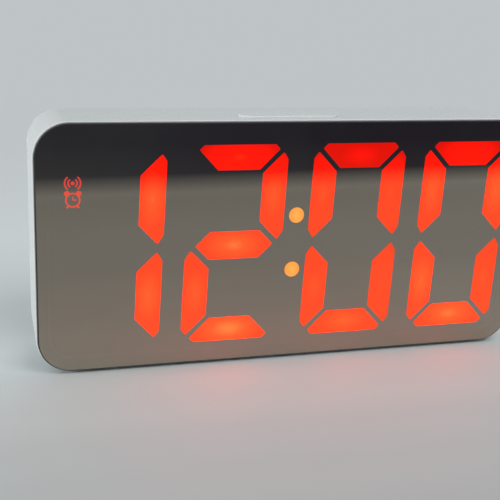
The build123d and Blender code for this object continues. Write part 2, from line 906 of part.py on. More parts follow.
# Key board and what it carries
with BuildPart() as key_board:
    with BuildSketch(seen_from_back(key_board_front)):
        with Locations(((key_board_left + key_board_right) / 2, key_row_rise)):
            Rectangle(key_board_right - key_board_left, key_board_height)
        with Locations(*board_screw_places):
            Circle(small_screw_radius + loose_gap, mode=Mode.SUBTRACT)
    extrude(amount=key_board_thickness)
finish(key_board, "key_board")

with BuildPart() as key_board_screws:
    add_screws(
        seen_from_front(key_board_front),
        [(-x, y) for x, y in board_screw_places],
        small_screw_radius,
        key_board_thickness + small_screw_bite,
        small_screw_head,
        small_screw_head_height,
    )
finish(key_board_screws, "key_board_screws")

with BuildPart() as key_switches:
    with BuildSketch(seen_from_back(key_board_back)):
        with Locations(*key_places):
            RectangleRounded(switch_side, switch_side, switch_corner)
    extrude(amount=switch_height)
    with BuildSketch(seen_from_back(switch_top_depth - plunger_well)):
        with Locations(*key_places):
            Circle(plunger_radius + seat_gap)
    extrude(amount=plunger_well, mode=Mode.SUBTRACT)
finish(key_switches, "key_switches")

for key_name, key_place in zip(("mode", "up", "down", "alarm"), key_places):
    with BuildPart() as key:
        with BuildSketch(seen_from_back(key_flange_front)):
            with Locations(key_place):
                SlotOverall(key_length, key_width)
        extrude(amount=case_depth + key_proud - key_flange_front)
        fillet(key.edges().group_by(Axis.Y)[-1], key_round)
        with BuildSketch(seen_from_back(key_flange_front)):
            with Locations(key_place):
                SlotOverall(key_length + 2 * key_flange, key_width + 2 * key_flange)
        extrude(amount=key_flange_thickness)
    finish(key, f"{key_name}_key")
    with BuildPart() as plunger:
        with BuildSketch(seen_from_back(switch_top_depth - plunger_sink)):
            with Locations(key_place):
                Circle(plunger_radius)
        extrude(amount=plunger_sink + plunger_proud)
    finish(plunger, f"{key_name}_plunger")

slider_top_depth = key_board_back + switch_height
with BuildPart() as slider_switch:
    with BuildSketch(seen_from_back(key_board_back)):
        with Locations((slider_place, key_row_rise)):
            Rectangle(slider_body_length, slider_body_width)
    extrude(amount=switch_height)
    with BuildSketch(seen_from_back(slider_top_depth - slider_well)):
        with Locations((slider_place, key_row_rise)):
            Rectangle(
                slider_knob_length + 2 * slider_travel + 2 * seat_gap, slider_knob_width + 2 * seat_gap
            )
    extrude(amount=slider_well, mode=Mode.SUBTRACT)
finish(slider_switch, "slider_switch")

with BuildPart() as slider_knob:
    with BuildSketch(seen_from_back(slider_top_depth - slider_sink)):
        with Locations((slider_place, key_row_rise)):
            Rectangle(slider_knob_length, slider_knob_width)
    extrude(amount=case_depth + slider_proud - slider_top_depth + slider_sink)
    with BuildSketch(seen_from_back(case_depth + slider_proud)):
        with Locations((slider_place, key_row_rise)):
            with GridLocations(2 * slider_grip_width, 0, 3, 1):
                Rectangle(slider_grip_width, slider_knob_width)
    extrude(amount=-slider_grip_depth, mode=Mode.SUBTRACT)
finish(slider_knob, "slider_knob")

socket_mouth = case_depth - socket_setback
with BuildPart() as power_socket:
    with BuildSketch(seen_from_back(key_board_back)):
        with Locations((socket_place, key_row_rise)):
            SlotOverall(socket_length, socket_width)
    extrude(amount=socket_mouth - key_board_back)
    with BuildSketch(seen_from_back(key_board_back + socket_base)):
        with Locations((socket_place, key_row_rise)):
            SlotOverall(socket_length - 2 * socket_metal, socket_width - 2 * socket_metal)
    extrude(amount=socket_mouth - key_board_back, mode=Mode.SUBTRACT)
finish(power_socket, "power_socket")

with BuildPart() as socket_tongue:
    with BuildSketch(seen_from_back(key_board_back + socket_base)):
        with Locations((socket_place, key_row_rise)):
            Rectangle(tongue_length, tongue_plate)
    extrude(amount=socket_mouth - tongue_setback - key_board_back - socket_base)
    with BuildSketch(seen_from_back(key_board_back + socket_base)):
        with Locations((socket_place, key_row_rise)):
            with GridLocations(contact_strip_pitch, tongue_plate, contact_strip_count, 2):
                Rectangle(contact_strip_width, 2 * contact_strip_thickness)
    extrude(amount=socket_mouth - 2 * tongue_setback - key_board_back - socket_base)
finish(socket_tongue, "socket_tongue")

with BuildPart() as buzzer:
    with BuildSketch(seen_from_back(key_board_back)):
        with Locations((buzzer_place, key_row_rise)):
            Circle(buzzer_radius)
    extrude(amount=inner_back_depth - loose_gap - key_board_back)
    fillet(buzzer.edges().group_by(Axis.Y)[-1], buzzer_round)
    with BuildSketch(seen_from_back(inner_back_depth - loose_gap)):
        with Locations((buzzer_place, key_row_rise)):
            Circle(buzzer_port_radius)
    extrude(amount=-buzzer_port_depth, mode=Mode.SUBTRACT)
finish(buzzer, "buzzer")

# Ribbon between the two boards
with BuildPart() as ribbon_headers:
    with BuildSketch(seen_from_back(display_board_back)):
        with Locations((header_place, display_header_rise)):
            Rectangle(header_length, header_width)
    extrude(amount=header_height)
    with BuildSketch(seen_from_back(key_board_front)):
        with Locations((header_place, key_row_rise)):
            Rectangle(header_length, header_width)
    extrude(amount=-header_height)
finish(ribbon_headers, "ribbon_headers")

ribbon_start = display_board_back + header_height
ribbon_end = key_board_front - header_height
ribbon_third = (ribbon_end - ribbon_start) / 3
with BuildPart() as ribbon_cable:
    with BuildLine(seen_from_side(-header_place)) as ribbon_path:
        FilletPolyline(
            (ribbon_start, display_header_rise),
            (ribbon_start + ribbon_third, display_header_rise),
            (ribbon_end - ribbon_third, key_row_rise),
            (ribbon_end, key_row_rise),
            radius=ribbon_bend_share * ribbon_third,
        )
    with BuildSketch(seen_from_back(ribbon_start)):
        with Locations((header_place, display_header_rise)):
            Rectangle(ribbon_width, ribbon_thickness)
    sweep(path=ribbon_path.wires()[0])
finish(ribbon_cable, "ribbon_cable")

# Cells and contacts
cell_rises = (lower_cell_rise, tray_rise, upper_cell_rise)
for number, rise in enumerate(cell_rises):
    nub_side = 1 if number % 2 else -1
    can_length = cell_length - cell_nub_length
    can_middle = -nub_side * cell_nub_length / 2
    with BuildPart() as cell:
        with BuildSketch(seen_from_side(can_middle - can_length / 2)):
            with Locations((cell_depth, rise)):
                Circle(cell_radius)
        extrude(amount=can_length)
        fillet(cell.edges().group_by(Axis.X)[0], cell_edge_round)
        fillet(cell.edges().group_by(Axis.X)[-1], cell_edge_round)
        with BuildSketch(seen_from_side(can_middle + nub_side * can_length / 2)):
            with Locations((cell_depth, rise)):
                Circle(cell_nub_radius)
        extrude(amount=nub_side * cell_nub_length)
    finish(cell, f"battery_cell_{number + 1}")


def add_contact_plate(side, low_rise, high_rise):
    """Add a flat contact plate against the tray's end wall, from one cell's line to another's."""
    plate_face = side * (tray_width / 2 - bonded_gap) - (contact_thickness if side > 0 else 0)
    with BuildSketch(seen_from_side(plate_face)) as plate:
        with Locations((cell_depth, (low_rise + high_rise) / 2)):
            Rectangle(contact_width, high_rise - low_rise + contact_width)
    extrude(plate.sketch, amount=contact_thickness)


def add_contact_bow(side, rise):
    """Add the bowed leaf that presses on one cell's end."""
    plate_face = side * (tray_width / 2 - bonded_gap - contact_thickness)
    bow_plane = Plane(
        origin=(0, front_y + cell_depth - contact_width / 4, case_middle + rise),
        x_dir=(0, 0, 1),
        z_dir=(0, 1, 0),
    )
    crown = plate_face - side * contact_bow
    with BuildSketch(bow_plane) as bow:
        with BuildLine():
            Polyline(
                (-contact_width / 2, plate_face),
                (-contact_thickness, crown),
                (contact_thickness, crown),
                (contact_width / 2, plate_face),
                (contact_width / 2 - 2 * contact_thickness, plate_face),
                (0, crown + side * contact_thickness),
                (-contact_width / 2 + 2 * contact_thickness, plate_face),
                close=True,
            )
        make_face()
    extrude(bow.sketch, amount=contact_width / 2)


def add_contact_tail(side, rise):
    """Add the solder tail that leaves the tray through its end wall."""
    tail_start = side * (tray_width / 2 - bonded_gap - contact_thickness / 2)
    tail_length = contact_thickness / 2 + tray_wall + contact_tail_reach
    with BuildSketch(seen_from_side(tail_start)) as tail:
        with Locations((contact_tail_depth, rise)):
            Rectangle(contact_tail_width, contact_thickness)
    extrude(tail.sketch, amount=side * tail_length)


with BuildPart() as left_contacts:
    add_contact_plate(-1, lower_cell_rise, lower_cell_rise)
    add_contact_plate(-1, tray_rise, upper_cell_rise)
    for rise in cell_rises:
        add_contact_bow(-1, rise)
    add_contact_tail(-1, lower_cell_rise)
finish(left_contacts, "left_contacts")

with BuildPart() as right_contacts:
    add_contact_plate(1, lower_cell_rise, tray_rise)
    add_contact_plate(1, upper_cell_rise, upper_cell_rise)
    for rise in cell_rises:
        add_contact_bow(1, rise)
    add_contact_tail(1, upper_cell_rise)
finish(right_contacts, "right_contacts")

# Battery door: it tilts about its lower outer edge on two lugs
with BuildPart() as battery_door:
    with BuildSketch(seen_from_back(case_depth - door_thickness + seat_gap)):
        with Locations((0, tray_rise)):
            RectangleRounded(door_width, door_height, door_corner)
    extrude(amount=door_thickness - seat_gap)
    for side in (-1, 1):
        with BuildSketch(seen_from_side(side * lug_spread - lug_width / 2)):
            lug_back = inner_back_depth - lip_gap
            lug_front = lug_back - lug_thickness
            with BuildLine():
                Polyline(
                    (tray_back + seat_gap, door_bottom + lug_rise),
                    (tray_back + seat_gap, door_bottom + lug_rise + lug_height),
                    (lug_front, door_bottom + lug_rise + lug_height),
                    (lug_front, door_bottom - lug_reach),
                    (lug_back, door_bottom - lug_reach),
                    (lug_back, door_bottom + lug_rise),
                    close=True,
                )
            make_face()
        extrude(amount=lug_width)
    with BuildSketch(seen_from_back(case_depth)):
        with Locations((0, tray_rise + door_height / 2 - grip_drop)):
            with GridLocations(0, grip_pitch, 1, grip_count):
                SlotOverall(grip_length, grip_width)
    extrude(amount=grip_proud)
finish(battery_door, "battery_door")


def make_lead(name, points, bends, start_plane, start_place):
    """Sweep a round wire along a path with rounded corners, and check its volume."""
    with BuildPart() as lead:
        with BuildLine() as path:
            FilletPolyline(*points, radius=bends)
        with BuildSketch(start_plane):
            with Locations(start_place):
                Circle(lead_radius)
        sweep(path=path.wires()[0])
    length = path.wires()[0].length
    section = pi * lead_radius**2
    print(f"{name}: length {length:.1f}, bends {bends}, volume share {lead.part.volume / (section * length):.4f}")
    finish(lead, name)


lead_across = tray_width / 2 + tray_wall + contact_tail_reach / 2
lead_start_depth = front_y + contact_tail_depth
snooze_lead_place = snooze_lead_inset - snooze_board_width / 2
snooze_lead_depth = (display_board_back + key_board_front) / 2
snooze_lead_rise = snooze_board_bottom - snooze_lead_drop
for side, rise, name in ((-1, lower_cell_rise, "negative_lead"), (1, upper_cell_rise, "positive_lead")):
    start_rise = case_middle + rise + contact_thickness / 2
    forward_y = front_y + key_board_front - battery_lead_reach
    end_rise = case_middle + key_row_rise - battery_lead_drop
    make_lead(
        name,
        [
            (side * lead_across, lead_start_depth, start_rise),
            (side * lead_across, lead_start_depth, start_rise + battery_lead_step),
            (side * lead_across, forward_y, end_rise - battery_lead_step - lead_bend),
            (side * lead_across, forward_y, end_rise),
            (side * lead_across, front_y + key_board_front, end_rise),
        ],
        [lead_bend, lead_bend, lead_bend],
        seen_from_top(rise + contact_thickness / 2),
        (side * lead_across, contact_tail_depth),
    )

make_lead(
    "snooze_lead",
    [
        (snooze_lead_place, front_y + snooze_lead_depth, case_middle + snooze_board_bottom),
        (snooze_lead_place, front_y + snooze_lead_depth, case_middle + snooze_lead_rise),
        (snooze_lead_place, front_y + display_board_back, case_middle + snooze_lead_rise),
    ],
    [snooze_lead_bend],
    seen_from_top(snooze_board_bottom),
    (snooze_lead_place, snooze_lead_depth),
)
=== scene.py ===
"""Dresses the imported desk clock: a half-mirrored front over four lit digits, in a white case.

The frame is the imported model's: +Z is up, the front looks along -Y, and the origin lies under the middle
of the clock on the surface that its feet stand on. Meshes and the studio are in metres. Sizes of the
clock's own pieces are written in millimetres.
"""
import logging
import math
from dataclasses import dataclass, field
from enum import Enum
from typing import Any, Callable, ClassVar, Iterable, Optional, Sequence

import bmesh
import bpy
from mathutils import Euler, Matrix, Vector


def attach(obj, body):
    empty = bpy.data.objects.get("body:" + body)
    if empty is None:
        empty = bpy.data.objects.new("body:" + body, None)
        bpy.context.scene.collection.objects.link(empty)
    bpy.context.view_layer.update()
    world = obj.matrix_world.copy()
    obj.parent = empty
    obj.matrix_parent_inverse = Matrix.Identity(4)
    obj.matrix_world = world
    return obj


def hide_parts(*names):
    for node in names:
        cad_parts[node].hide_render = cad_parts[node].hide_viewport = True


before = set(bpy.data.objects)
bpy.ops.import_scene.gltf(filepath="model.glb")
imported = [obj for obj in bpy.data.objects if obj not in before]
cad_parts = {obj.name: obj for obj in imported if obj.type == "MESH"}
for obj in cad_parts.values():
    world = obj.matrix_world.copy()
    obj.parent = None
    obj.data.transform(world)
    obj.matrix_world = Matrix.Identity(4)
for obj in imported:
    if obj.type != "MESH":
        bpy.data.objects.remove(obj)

MM = 0.001
FRONT_Y = -17.5
BACK_Y = 16.5
CASE_MIDDLE = 39.9
LENS_DEPTH = 2.1
BOARD_DEPTH = 9.1
BOARD_BACK = 10.7
KEY_BOARD_FRONT = 24.8
KEY_ROW_RISE = 18.0
# Places in the row of controls, to the right of the middle as seen from behind.
KEY_PLACES = (-36.0, -24.0, -12.0, 0.0)
SLIDER_PLACE = 13.0
SOCKET_PLACE = 28.0

Colour = tuple[float, float, float]
Triple = tuple[float, float, float]
Point = tuple[float, float]
Placer = Callable[[float, float, float], Vector]
Material = bpy.types.Material
Piece = bpy.types.Object
Face = bmesh.types.BMFace

log = logging.getLogger("desk_clock")


class Body(Enum):
    """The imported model's bodies that new pieces ride on."""

    CASE = "case"
    SNOOZE = "snooze_button"
    MODE = "mode_key"
    UP = "up_key"
    DOWN = "down_key"
    ALARM = "alarm_key"
    DOOR = "battery_door"


class Slot(Enum):
    """The record's material slots that new pieces take their finish from."""

    MIRROR = "mirror_front"
    WHITE = "white_case"
    GREY = "key_grey"
    LENS = "red_lens"
    LED = "led_body"
    RESIN = "black_resin"
    STEEL = "plated_steel"
    RUBBER = "foot_rubber"
    CELL = "cell_label"
    RED_WIRE = "red_wire"
    BLACK_WIRE = "black_wire"
    RIBBON = "ribbon_grey"


class Form(Enum):
    """Small solids one unit across that a point tree can put on points, each by its node and its settings."""

    BLOCK = ("MeshCube", (("Size", (1.0, 1.0, 1.0)),))
    DOME = ("MeshUVSphere", (("Segments", 14), ("Rings", 8), ("Radius", 0.5)))


def from_front(x: float, up: float, depth: float) -> Vector:
    """Place a point by millimetres right of the middle, above it and behind the panel's front face."""
    return Vector((x, FRONT_Y + depth, CASE_MIDDLE + up)) * MM


def from_back(x: float, up: float, out: float) -> Vector:
    """Place a point, seen from behind, by millimetres right of the middle, above it and out of the back."""
    return Vector((-x, BACK_Y + out, CASE_MIDDLE + up)) * MM


def arc(centre: Point, radius: float, start: float, sweep: float, steps: int) -> list[Point]:
    """Give the points of an arc, both ends among them, with its start and its sweep in degrees."""
    angles = [math.radians(start + sweep * step / steps) for step in range(steps + 1)]
    return [(centre[0] + radius * math.cos(a), centre[1] + radius * math.sin(a)) for a in angles]


def disc(centre: Point, radius: float, steps: int) -> list[Point]:
    """Give the points of a whole circle."""
    return arc(centre, radius, 0, 360 - 360 / steps, steps - 1)


def rounded_rectangle(width: float, height: float, corner: float, steps: int = 20) -> list[Point]:
    """Give the outline of a rectangle with round corners about the origin.

    Args:
        width: Its width.
        height: Its height.
        corner: The radius of its corners.
        steps: How many parts each corner has.

    Returns:
        The points, anticlockwise.
    """
    points: list[Point] = []
    for quarter, (side_x, side_y) in enumerate(((1, 1), (-1, 1), (-1, -1), (1, -1))):
        centre = (side_x * (width / 2 - corner), side_y * (height / 2 - corner))
        points += arc(centre, corner, 90 * quarter, 90, steps)
    return points


def soften(points: Sequence[Point], radius: float, steps: int = 6) -> list[Point]:
    """Round the corners of a closed outline.

    Args:
        points: The outline's corners.
        radius: The radius of the rounding.
        steps: How many parts each corner has.

    Returns:
        The outline with an arc in place of each corner.
    """
    outline: list[Point] = []
    for index, corner in enumerate(points):
        here = Vector(corner)
        back = Vector(points[index - 1]) - here
        ahead = Vector(points[(index + 1) % len(points)]) - here
        half = back.angle(ahead) / 2
        reach = min(radius / math.tan(half), 0.45 * back.length, 0.45 * ahead.length)
        true_radius = reach * math.tan(half)
        inward = (back.normalized() + ahead.normalized()).normalized()
        centre = here + inward * (true_radius / math.sin(half))
        first = here + back.normalized() * reach - centre
        last = here + ahead.normalized() * reach - centre
        for step in range(steps + 1):
            spoke = first.lerp(last, step / steps).normalized() * true_radius
            outline.append(tuple(centre + spoke))
    return outline


def drawn_in(points: Sequence[Point], amount: float) -> list[Point]:
    """Move each point of a smooth anticlockwise outline inwards.

    Args:
        points: The outline.
        amount: How far it moves.

    Returns:
        The smaller outline.
    """
    moved: list[Point] = []
    for index, corner in enumerate(points):
        chord = Vector(points[(index + 1) % len(points)]) - Vector(points[index - 1])
        inward = Vector((-chord.y, chord.x)).normalized()
        moved.append(tuple(Vector(corner) + inward * amount))
    return moved


def turned_anticlockwise(points: Sequence[Point]) -> list[Point]:
    """Give an outline's points in anticlockwise order.

    Args:
        points: The outline.

    Returns:
        Its points.
    """
    pairs = zip(points, list(points[1:]) + [points[0]])
    area = sum(a[0] * b[1] - b[0] * a[1] for a, b in pairs)
    return list(points) if area > 0 else list(reversed(points))


def shade(colour: Colour, share: float) -> Colour:
    """Give a colour with each of its parts times a share, up to 1."""
    return tuple(min(1.0, part * share) for part in colour)


class NodeMaker:
    """Adds shader nodes to a tree."""

    def __init__(self, tree: bpy.types.NodeTree) -> None:
        """Start with an emptied tree."""
        self.tree = tree
        self.tree.nodes.clear()

    def feed(self, socket: bpy.types.NodeSocket, value: Any) -> None:
        """Give an input a plain value, a colour or a node's output.

        Args:
            socket: The input.
            value: A plain value, a colour or a node's output.
        """
        if isinstance(value, bpy.types.NodeSocket):
            self.tree.links.new(value, socket)
        else:
            socket.default_value = (*value, 1.0) if socket.type == "RGBA" else value

    def add(self, kind: str, inputs: dict[Any, Any], output: Any = 0, **options: Any) -> Any:
        """Add a node.

        Args:
            kind: The node's type, without its prefix.
            inputs: A value or an output for each named or numbered input.
            output: The name or number of the output that is wanted.
            **options: The node's own settings.

        Returns:
            The output, or None from a node that has none.
        """
        made = self.tree.nodes.new(f"ShaderNode{kind}")
        for option, value in options.items():
            setattr(made, option, value)
        for socket, value in inputs.items():
            self.feed(made.inputs[socket], value)
        return made.outputs[output] if made.outputs else None


class Shading(NodeMaker):
    """A material under construction, with one Principled surface."""

    def __init__(self, name: str) -> None:
        """Start a material with an empty Principled surface.

        Args:
            name: The material's name.
        """
        self.material = bpy.data.materials.new(name)
        self.material.use_nodes = True
        super().__init__(self.material.node_tree)
        self.result = self.tree.nodes.new("ShaderNodeOutputMaterial").inputs["Surface"]
        self.surface = self.tree.nodes.new("ShaderNodeBsdfPrincipled")
        self.feed(self.result, self.surface.outputs[0])
        self.where = self.add("TexCoord", {}, "Object")

    def put(self, inputs: dict[str, Any]) -> None:
        """Set the surface's named sockets to plain values or nodes' outputs."""
        for socket, value in inputs.items():
            self.feed(self.surface.inputs[socket], value)

    def axis(self, name: str) -> Any:
        """Give one of the object's own coordinates, in metres."""
        return self.add("SeparateXYZ", {0: self.where}, name)

    def noise(self, scale: float, detail: float = 2.0, stretch: Optional[Triple] = None) -> Any:
        """Give a noise on the object's own coordinates, stretched where asked."""
        where = self.add("Mapping", {"Vector": self.where, "Scale": stretch}) if stretch else self.where
        return self.add("TexNoise", {"Vector": where, "Scale": scale, "Detail": detail}, "Fac")

    def between(
        self, factor: Any, low: float, high: float, start: float = 0.0, end: float = 1.0, kind: str = "LINEAR"
    ) -> Any:
        """Map a factor from its own range, start to end, to another one, low to high."""
        inputs = {"Value": factor, "From Min": start, "From Max": end, "To Min": low, "To Max": high}
        return self.add("MapRange", inputs, interpolation_type=kind)

    def times(self, first: Any, second: Any) -> Any:
        """Multiply two factors."""
        return self.add("Math", {0: first, 1: second}, operation="MULTIPLY")

    def blended(self, factor: Any, first: Any, second: Any, kind: str = "MIX") -> Any:
        """Mix two colours or outputs by a factor."""
        return self.add("Mix", {0: factor, 6: first, 7: second}, 2, data_type="RGBA", blend_type=kind)

    def ramp(self, factor: Any, stops: Sequence[tuple[float, Any]], kind: str = "EASE") -> Any:
        """Map a factor to the colours or grey levels of a row of stops.

        Args:
            factor: The output that is mapped.
            stops: The place of each stop, and its colour or its grey level.
            kind: How the ramp runs from stop to stop.

        Returns:
            The output that carries the colour.
        """
        colour = self.add("ValToRGB", {"Fac": factor})
        made = colour.node.color_ramp
        made.interpolation = kind
        while len(made.elements) < len(stops):
            made.elements.new(0.5)
        for element, (position, level) in zip(made.elements, stops):
            element.position = position
            element.color = (*level, 1.0) if isinstance(level, tuple) else (level, level, level, 1.0)
        return colour

    def bump(self, height: Any, distance: float) -> Any:
        """Raise the surface by a height, by a distance in millimetres."""
        return self.add("Bump", {"Height": height, "Distance": distance * MM, "Strength": 1.0})


@dataclass(frozen=True)
class Coat:
    """A named finish."""

    name: str

    def material(self) -> Material:
        """Give the finish's material, and build it where it isn't there yet.

        Returns:
            The material.
        """
        known = bpy.data.materials.get(self.name)
        if known:
            return known
        shading = Shading(self.name)
        shading.put(self.surface(shading))
        return shading.material

    def surface(self, shading: Shading) -> dict[str, Any]:
        """Add the finish's nodes to a material, and give what goes into each socket of its surface."""
        raise NotImplementedError


@dataclass(frozen=True)
class PaintedHighlightEdge:
    """A painted highlight along an edge of a moulding: a paler colour that fades in along one axis."""

    axis: str
    begin: float
    full: float
    colour: Colour = (0.93, 0.95, 0.94)


@dataclass(frozen=True)
class MouldedPlastic(Coat):
    """Moulded plastic with a fine spark-eroded grain and a faint cloud in its colour."""

    colour: Colour
    roughness: float
    grain: float
    grain_height: float
    cloud: float = 0.03
    edge: Optional[PaintedHighlightEdge] = None
    index: float = 1.53

    def surface(self, shading: Shading) -> dict[str, Any]:
        """Give the grain, the cloud and the painted edge highlight, where it has one.

        Args:
            shading: The material under construction.

        Returns:
            What goes into each socket of its surface.
        """
        grain = shading.noise(self.grain, 3.0)
        cloud = shading.noise(38.0, 3.0)
        base = shading.blended(cloud, shade(self.colour, 1 - self.cloud), shade(self.colour, 1 + self.cloud))
        # Painted highlight: near the edge the colour turns paler, standing in for light caught by the rounded
        # edge.
        if self.edge:
            place = shading.axis(self.edge.axis)
            share = shading.between(place, 0.0, 1.0, self.edge.begin * MM, self.edge.full * MM)
            base = shading.blended(share, base, self.edge.colour)
        return {
            "Base Color": base,
            "Roughness": shading.between(grain, self.roughness - 0.05, self.roughness + 0.07, 0.3, 0.7),
            "IOR": self.index,
            "Normal": shading.bump(grain, self.grain_height),
        }


@dataclass(frozen=True)
class HalfMirror(Coat):
    """The half-mirrored, smoke-tinted face of the panel, slightly hazed by handling."""

    tint: Colour
    cover: float
    roughness: float

    def surface(self, shading: Shading) -> dict[str, Any]:
        """Give the haze and the wipe marks.

        Args:
            shading: The material under construction.

        Returns:
            What goes into each socket of its surface.
        """
        wipe = shading.noise(60.0, 3.0, stretch=(0.35, 1.0, 1.6))
        return {
            "Base Color": shading.blended(shading.noise(14.0, 4.0), self.tint, shade(self.tint, 1.05)),
            "Metallic": 1.0,
            "Alpha": self.cover,
            "Roughness": shading.between(wipe, self.roughness, self.roughness * 1.7, 0.35, 0.75),
        }


@dataclass(frozen=True)
class PolishedAcrylic(Coat):
    """A cut and polished acrylic edge, or the clear back of the panel."""

    colour: Colour
    cover: float = 1.0
    roughness: float = 0.12
    index: float = 1.49

    def surface(self, shading: Shading) -> dict[str, Any]:
        """Give the fine marks of the saw.

        Args:
            shading: The material under construction.

        Returns:
            What goes into each socket of its surface.
        """
        saw = shading.noise(900.0, 2.0, stretch=(1.0, 0.15, 1.0))
        return {
            "Base Color": shading.blended(saw, shade(self.colour, 0.8), self.colour),
            "Roughness": shading.between(saw, self.roughness, self.roughness + 0.08),
            "IOR": self.index,
            "Alpha": self.cover,
            "Normal": shading.bump(saw, 0.003),
        }


@dataclass(frozen=True)
class LitLens(Coat):
    """A lit lens as it shows in the mirror film: brightest at its middle, under the film's own reflection."""

    stops: tuple[tuple[float, Colour], ...]
    strength: float
    film: Colour = (0.34, 0.175, 0.055)
    reach_along: float = 1.25
    reach_across: float = 0.75

    def surface(self, shading: Shading) -> dict[str, Any]:
        """Give the glow, a round spot on the flow map, as bright as the heat map says.

        Args:
            shading: The material under construction.

        Returns:
            What goes into each socket of its surface.
        """
        reach = (self.reach_along, self.reach_across, 1.0)
        inputs = {
            "Vector": shading.add("UVMap", {}, uv_map="flow"),
            "Location": (-0.5 * self.reach_along, -0.5 * self.reach_across, 0.0),
            "Scale": reach,
        }
        centred = shading.add("Mapping", inputs)
        spot = shading.add("TexGradient", {"Vector": centred}, "Fac", gradient_type="SPHERICAL")
        heat = shading.add("SeparateXYZ", {0: shading.add("UVMap", {}, uv_map="heat")}, "X")
        grain = shading.between(shading.noise(700.0, 2.0), 0.94, 1.04)
        bright = shading.times(shading.times(spot, heat), grain)
        return {
            "Base Color": shading.blended(grain, shade(self.film, 0.9), self.film),
            "Metallic": 1.0,
            "Roughness": shading.between(grain, 0.03, 0.05, 0.94, 1.04),
            "Emission Color": shading.ramp(bright, self.stops, "LINEAR"),
            "Emission Strength": self.strength,
        }


@dataclass(frozen=True)
class CircuitBoard(Coat):
    """Solder mask over copper tracks, which run across in some fields of the board and upright in others."""

    mask: Colour = (0.012, 0.075, 0.035)
    track: Colour = (0.03, 0.16, 0.07)

    def tracks(self, shading: Shading, turn: float) -> Any:
        """Give long parallel tracks as white lines on black.

        Args:
            shading: The material that they go into.
            turn: Their direction on the board's face, in degrees.

        Returns:
            The output that carries their colour.
        """
        rotation = (math.radians(90), 0.0, math.radians(turn))
        inputs = {
            "Vector": shading.add("Mapping", {"Vector": shading.where, "Rotation": rotation}),
            "Color1": (0.0, 0.0, 0.0),
            "Color2": (0.0, 0.0, 0.0),
            "Mortar": (1.0, 1.0, 1.0),
            "Scale": 120.0,
            "Mortar Size": 0.024,
            "Brick Width": 3.1,
            "Row Height": 0.17,
        }
        return shading.add("TexBrick", inputs, "Color", offset=0.37)

    def surface(self, shading: Shading) -> dict[str, Any]:
        """Give the tracks, which leave bare fields, and the weave of the board.

        Args:
            shading: The material under construction.

        Returns:
            What goes into each socket of its surface.
        """
        upright = shading.between(shading.noise(42.0, 1.0), 0.0, 1.0, 0.49, 0.51)
        laid = shading.between(shading.noise(75.0, 1.0), 0.0, 1.0, 0.40, 0.42)
        both = shading.blended(upright, self.tracks(shading, 0.0), self.tracks(shading, 90.0))
        lines = shading.times(both, laid)
        return {
            "Base Color": shading.blended(lines, self.mask, self.track),
            "Roughness": shading.between(shading.noise(1800.0, 2.0), 0.28, 0.42),
            "Normal": shading.bump(lines, 0.03),
        }


@dataclass(frozen=True)
class PlatedMetal(Coat):
    """Plated sheet or turned metal with fine drawing lines."""

    colour: Colour = (0.66, 0.65, 0.62)
    roughness: float = 0.24
    stretch: Triple = (1.0, 1.0, 0.12)

    def surface(self, shading: Shading) -> dict[str, Any]:
        """Give the drawing lines and a faint stain.

        Args:
            shading: The material under construction.

        Returns:
            What goes into each socket of its surface.
        """
        lines = shading.noise(2600.0, 3.0, stretch=self.stretch)
        return {
            "Base Color": shading.blended(shading.noise(140.0, 3.0), shade(self.colour, 0.86), self.colour),
            "Metallic": 1.0,
            "Roughness": shading.between(lines, self.roughness - 0.06, self.roughness + 0.12),
            "Normal": shading.bump(lines, 0.004),
        }


@dataclass(frozen=True)
class CellSleeve(Coat):
    """A plain printed sleeve round a cell, with a pale band at its button end."""

    button_side: float
    half_length: float = 22.3
    sleeve: Colour = (0.02, 0.13, 0.16)
    pale: Colour = (0.62, 0.63, 0.60)
    metal: Colour = (0.70, 0.69, 0.66)

    def surface(self, shading: Shading) -> dict[str, Any]:
        """Give the sleeve between the bare metal ends, with its band and its rubbed gloss.

        Args:
            shading: The material under construction.

        Returns:
            What goes into each socket of its surface.
        """
        reach = self.half_length * MM * self.button_side
        along = shading.between(shading.axis("X"), 0.0, 1.0, -reach, reach)
        bands = [(0.0, self.metal), (0.03, self.sleeve), (0.72, self.pale), (0.76, self.sleeve)]
        rub = shading.noise(320.0, 3.0)
        return {
            "Base Color": shading.ramp(along, [*bands, (0.955, self.metal)], "CONSTANT"),
            "Metallic": shading.ramp(along, [(0.0, 1.0), (0.03, 0.0), (0.955, 1.0)], "CONSTANT"),
            "Roughness": shading.between(rub, 0.22, 0.38),
            "Coat Weight": 0.25,
            "Normal": shading.bump(rub, 0.01),
        }


@dataclass(frozen=True)
class SoftCovering(Coat):
    """Rubber, foam tape or wire covering: dull, with a fine uneven surface."""

    colour: Colour
    roughness: float
    pore: float
    pore_height: float

    def surface(self, shading: Shading) -> dict[str, Any]:
        """Give the pores, paler where they are worn.

        Args:
            shading: The material under construction.

        Returns:
            What goes into each socket of its surface.
        """
        pores = shading.noise(self.pore, 4.0)
        worn = tuple(part * 1.25 + 0.004 for part in self.colour)
        return {
            "Base Color": shading.blended(pores, self.colour, worn),
            "Roughness": shading.between(pores, self.roughness - 0.08, self.roughness + 0.1),
            "Normal": shading.bump(pores, self.pore_height),
        }


@dataclass(frozen=True)
class RibbonCovering(Coat):
    """Grey ribbon wires, the first of them marked red."""

    first_wire: float
    grey: Colour = (0.33, 0.34, 0.35)
    red: Colour = (0.45, 0.03, 0.02)

    def surface(self, shading: Shading) -> dict[str, Any]:
        """Give the mark on the first wire and a streaky gloss.

        Args:
            shading: The material under construction.

        Returns:
            What goes into each socket of its surface.
        """
        edge = self.first_wire * MM
        marked = shading.between(shading.axis("X"), 0.0, 1.0, edge - 0.1 * MM, edge + 0.1 * MM)
        streak = shading.noise(500.0, 3.0)
        return {
            "Base Color": shading.blended(marked, self.grey, self.red),
            "Roughness": shading.between(streak, 0.42, 0.55),
            "Normal": shading.bump(streak, 0.01),
        }


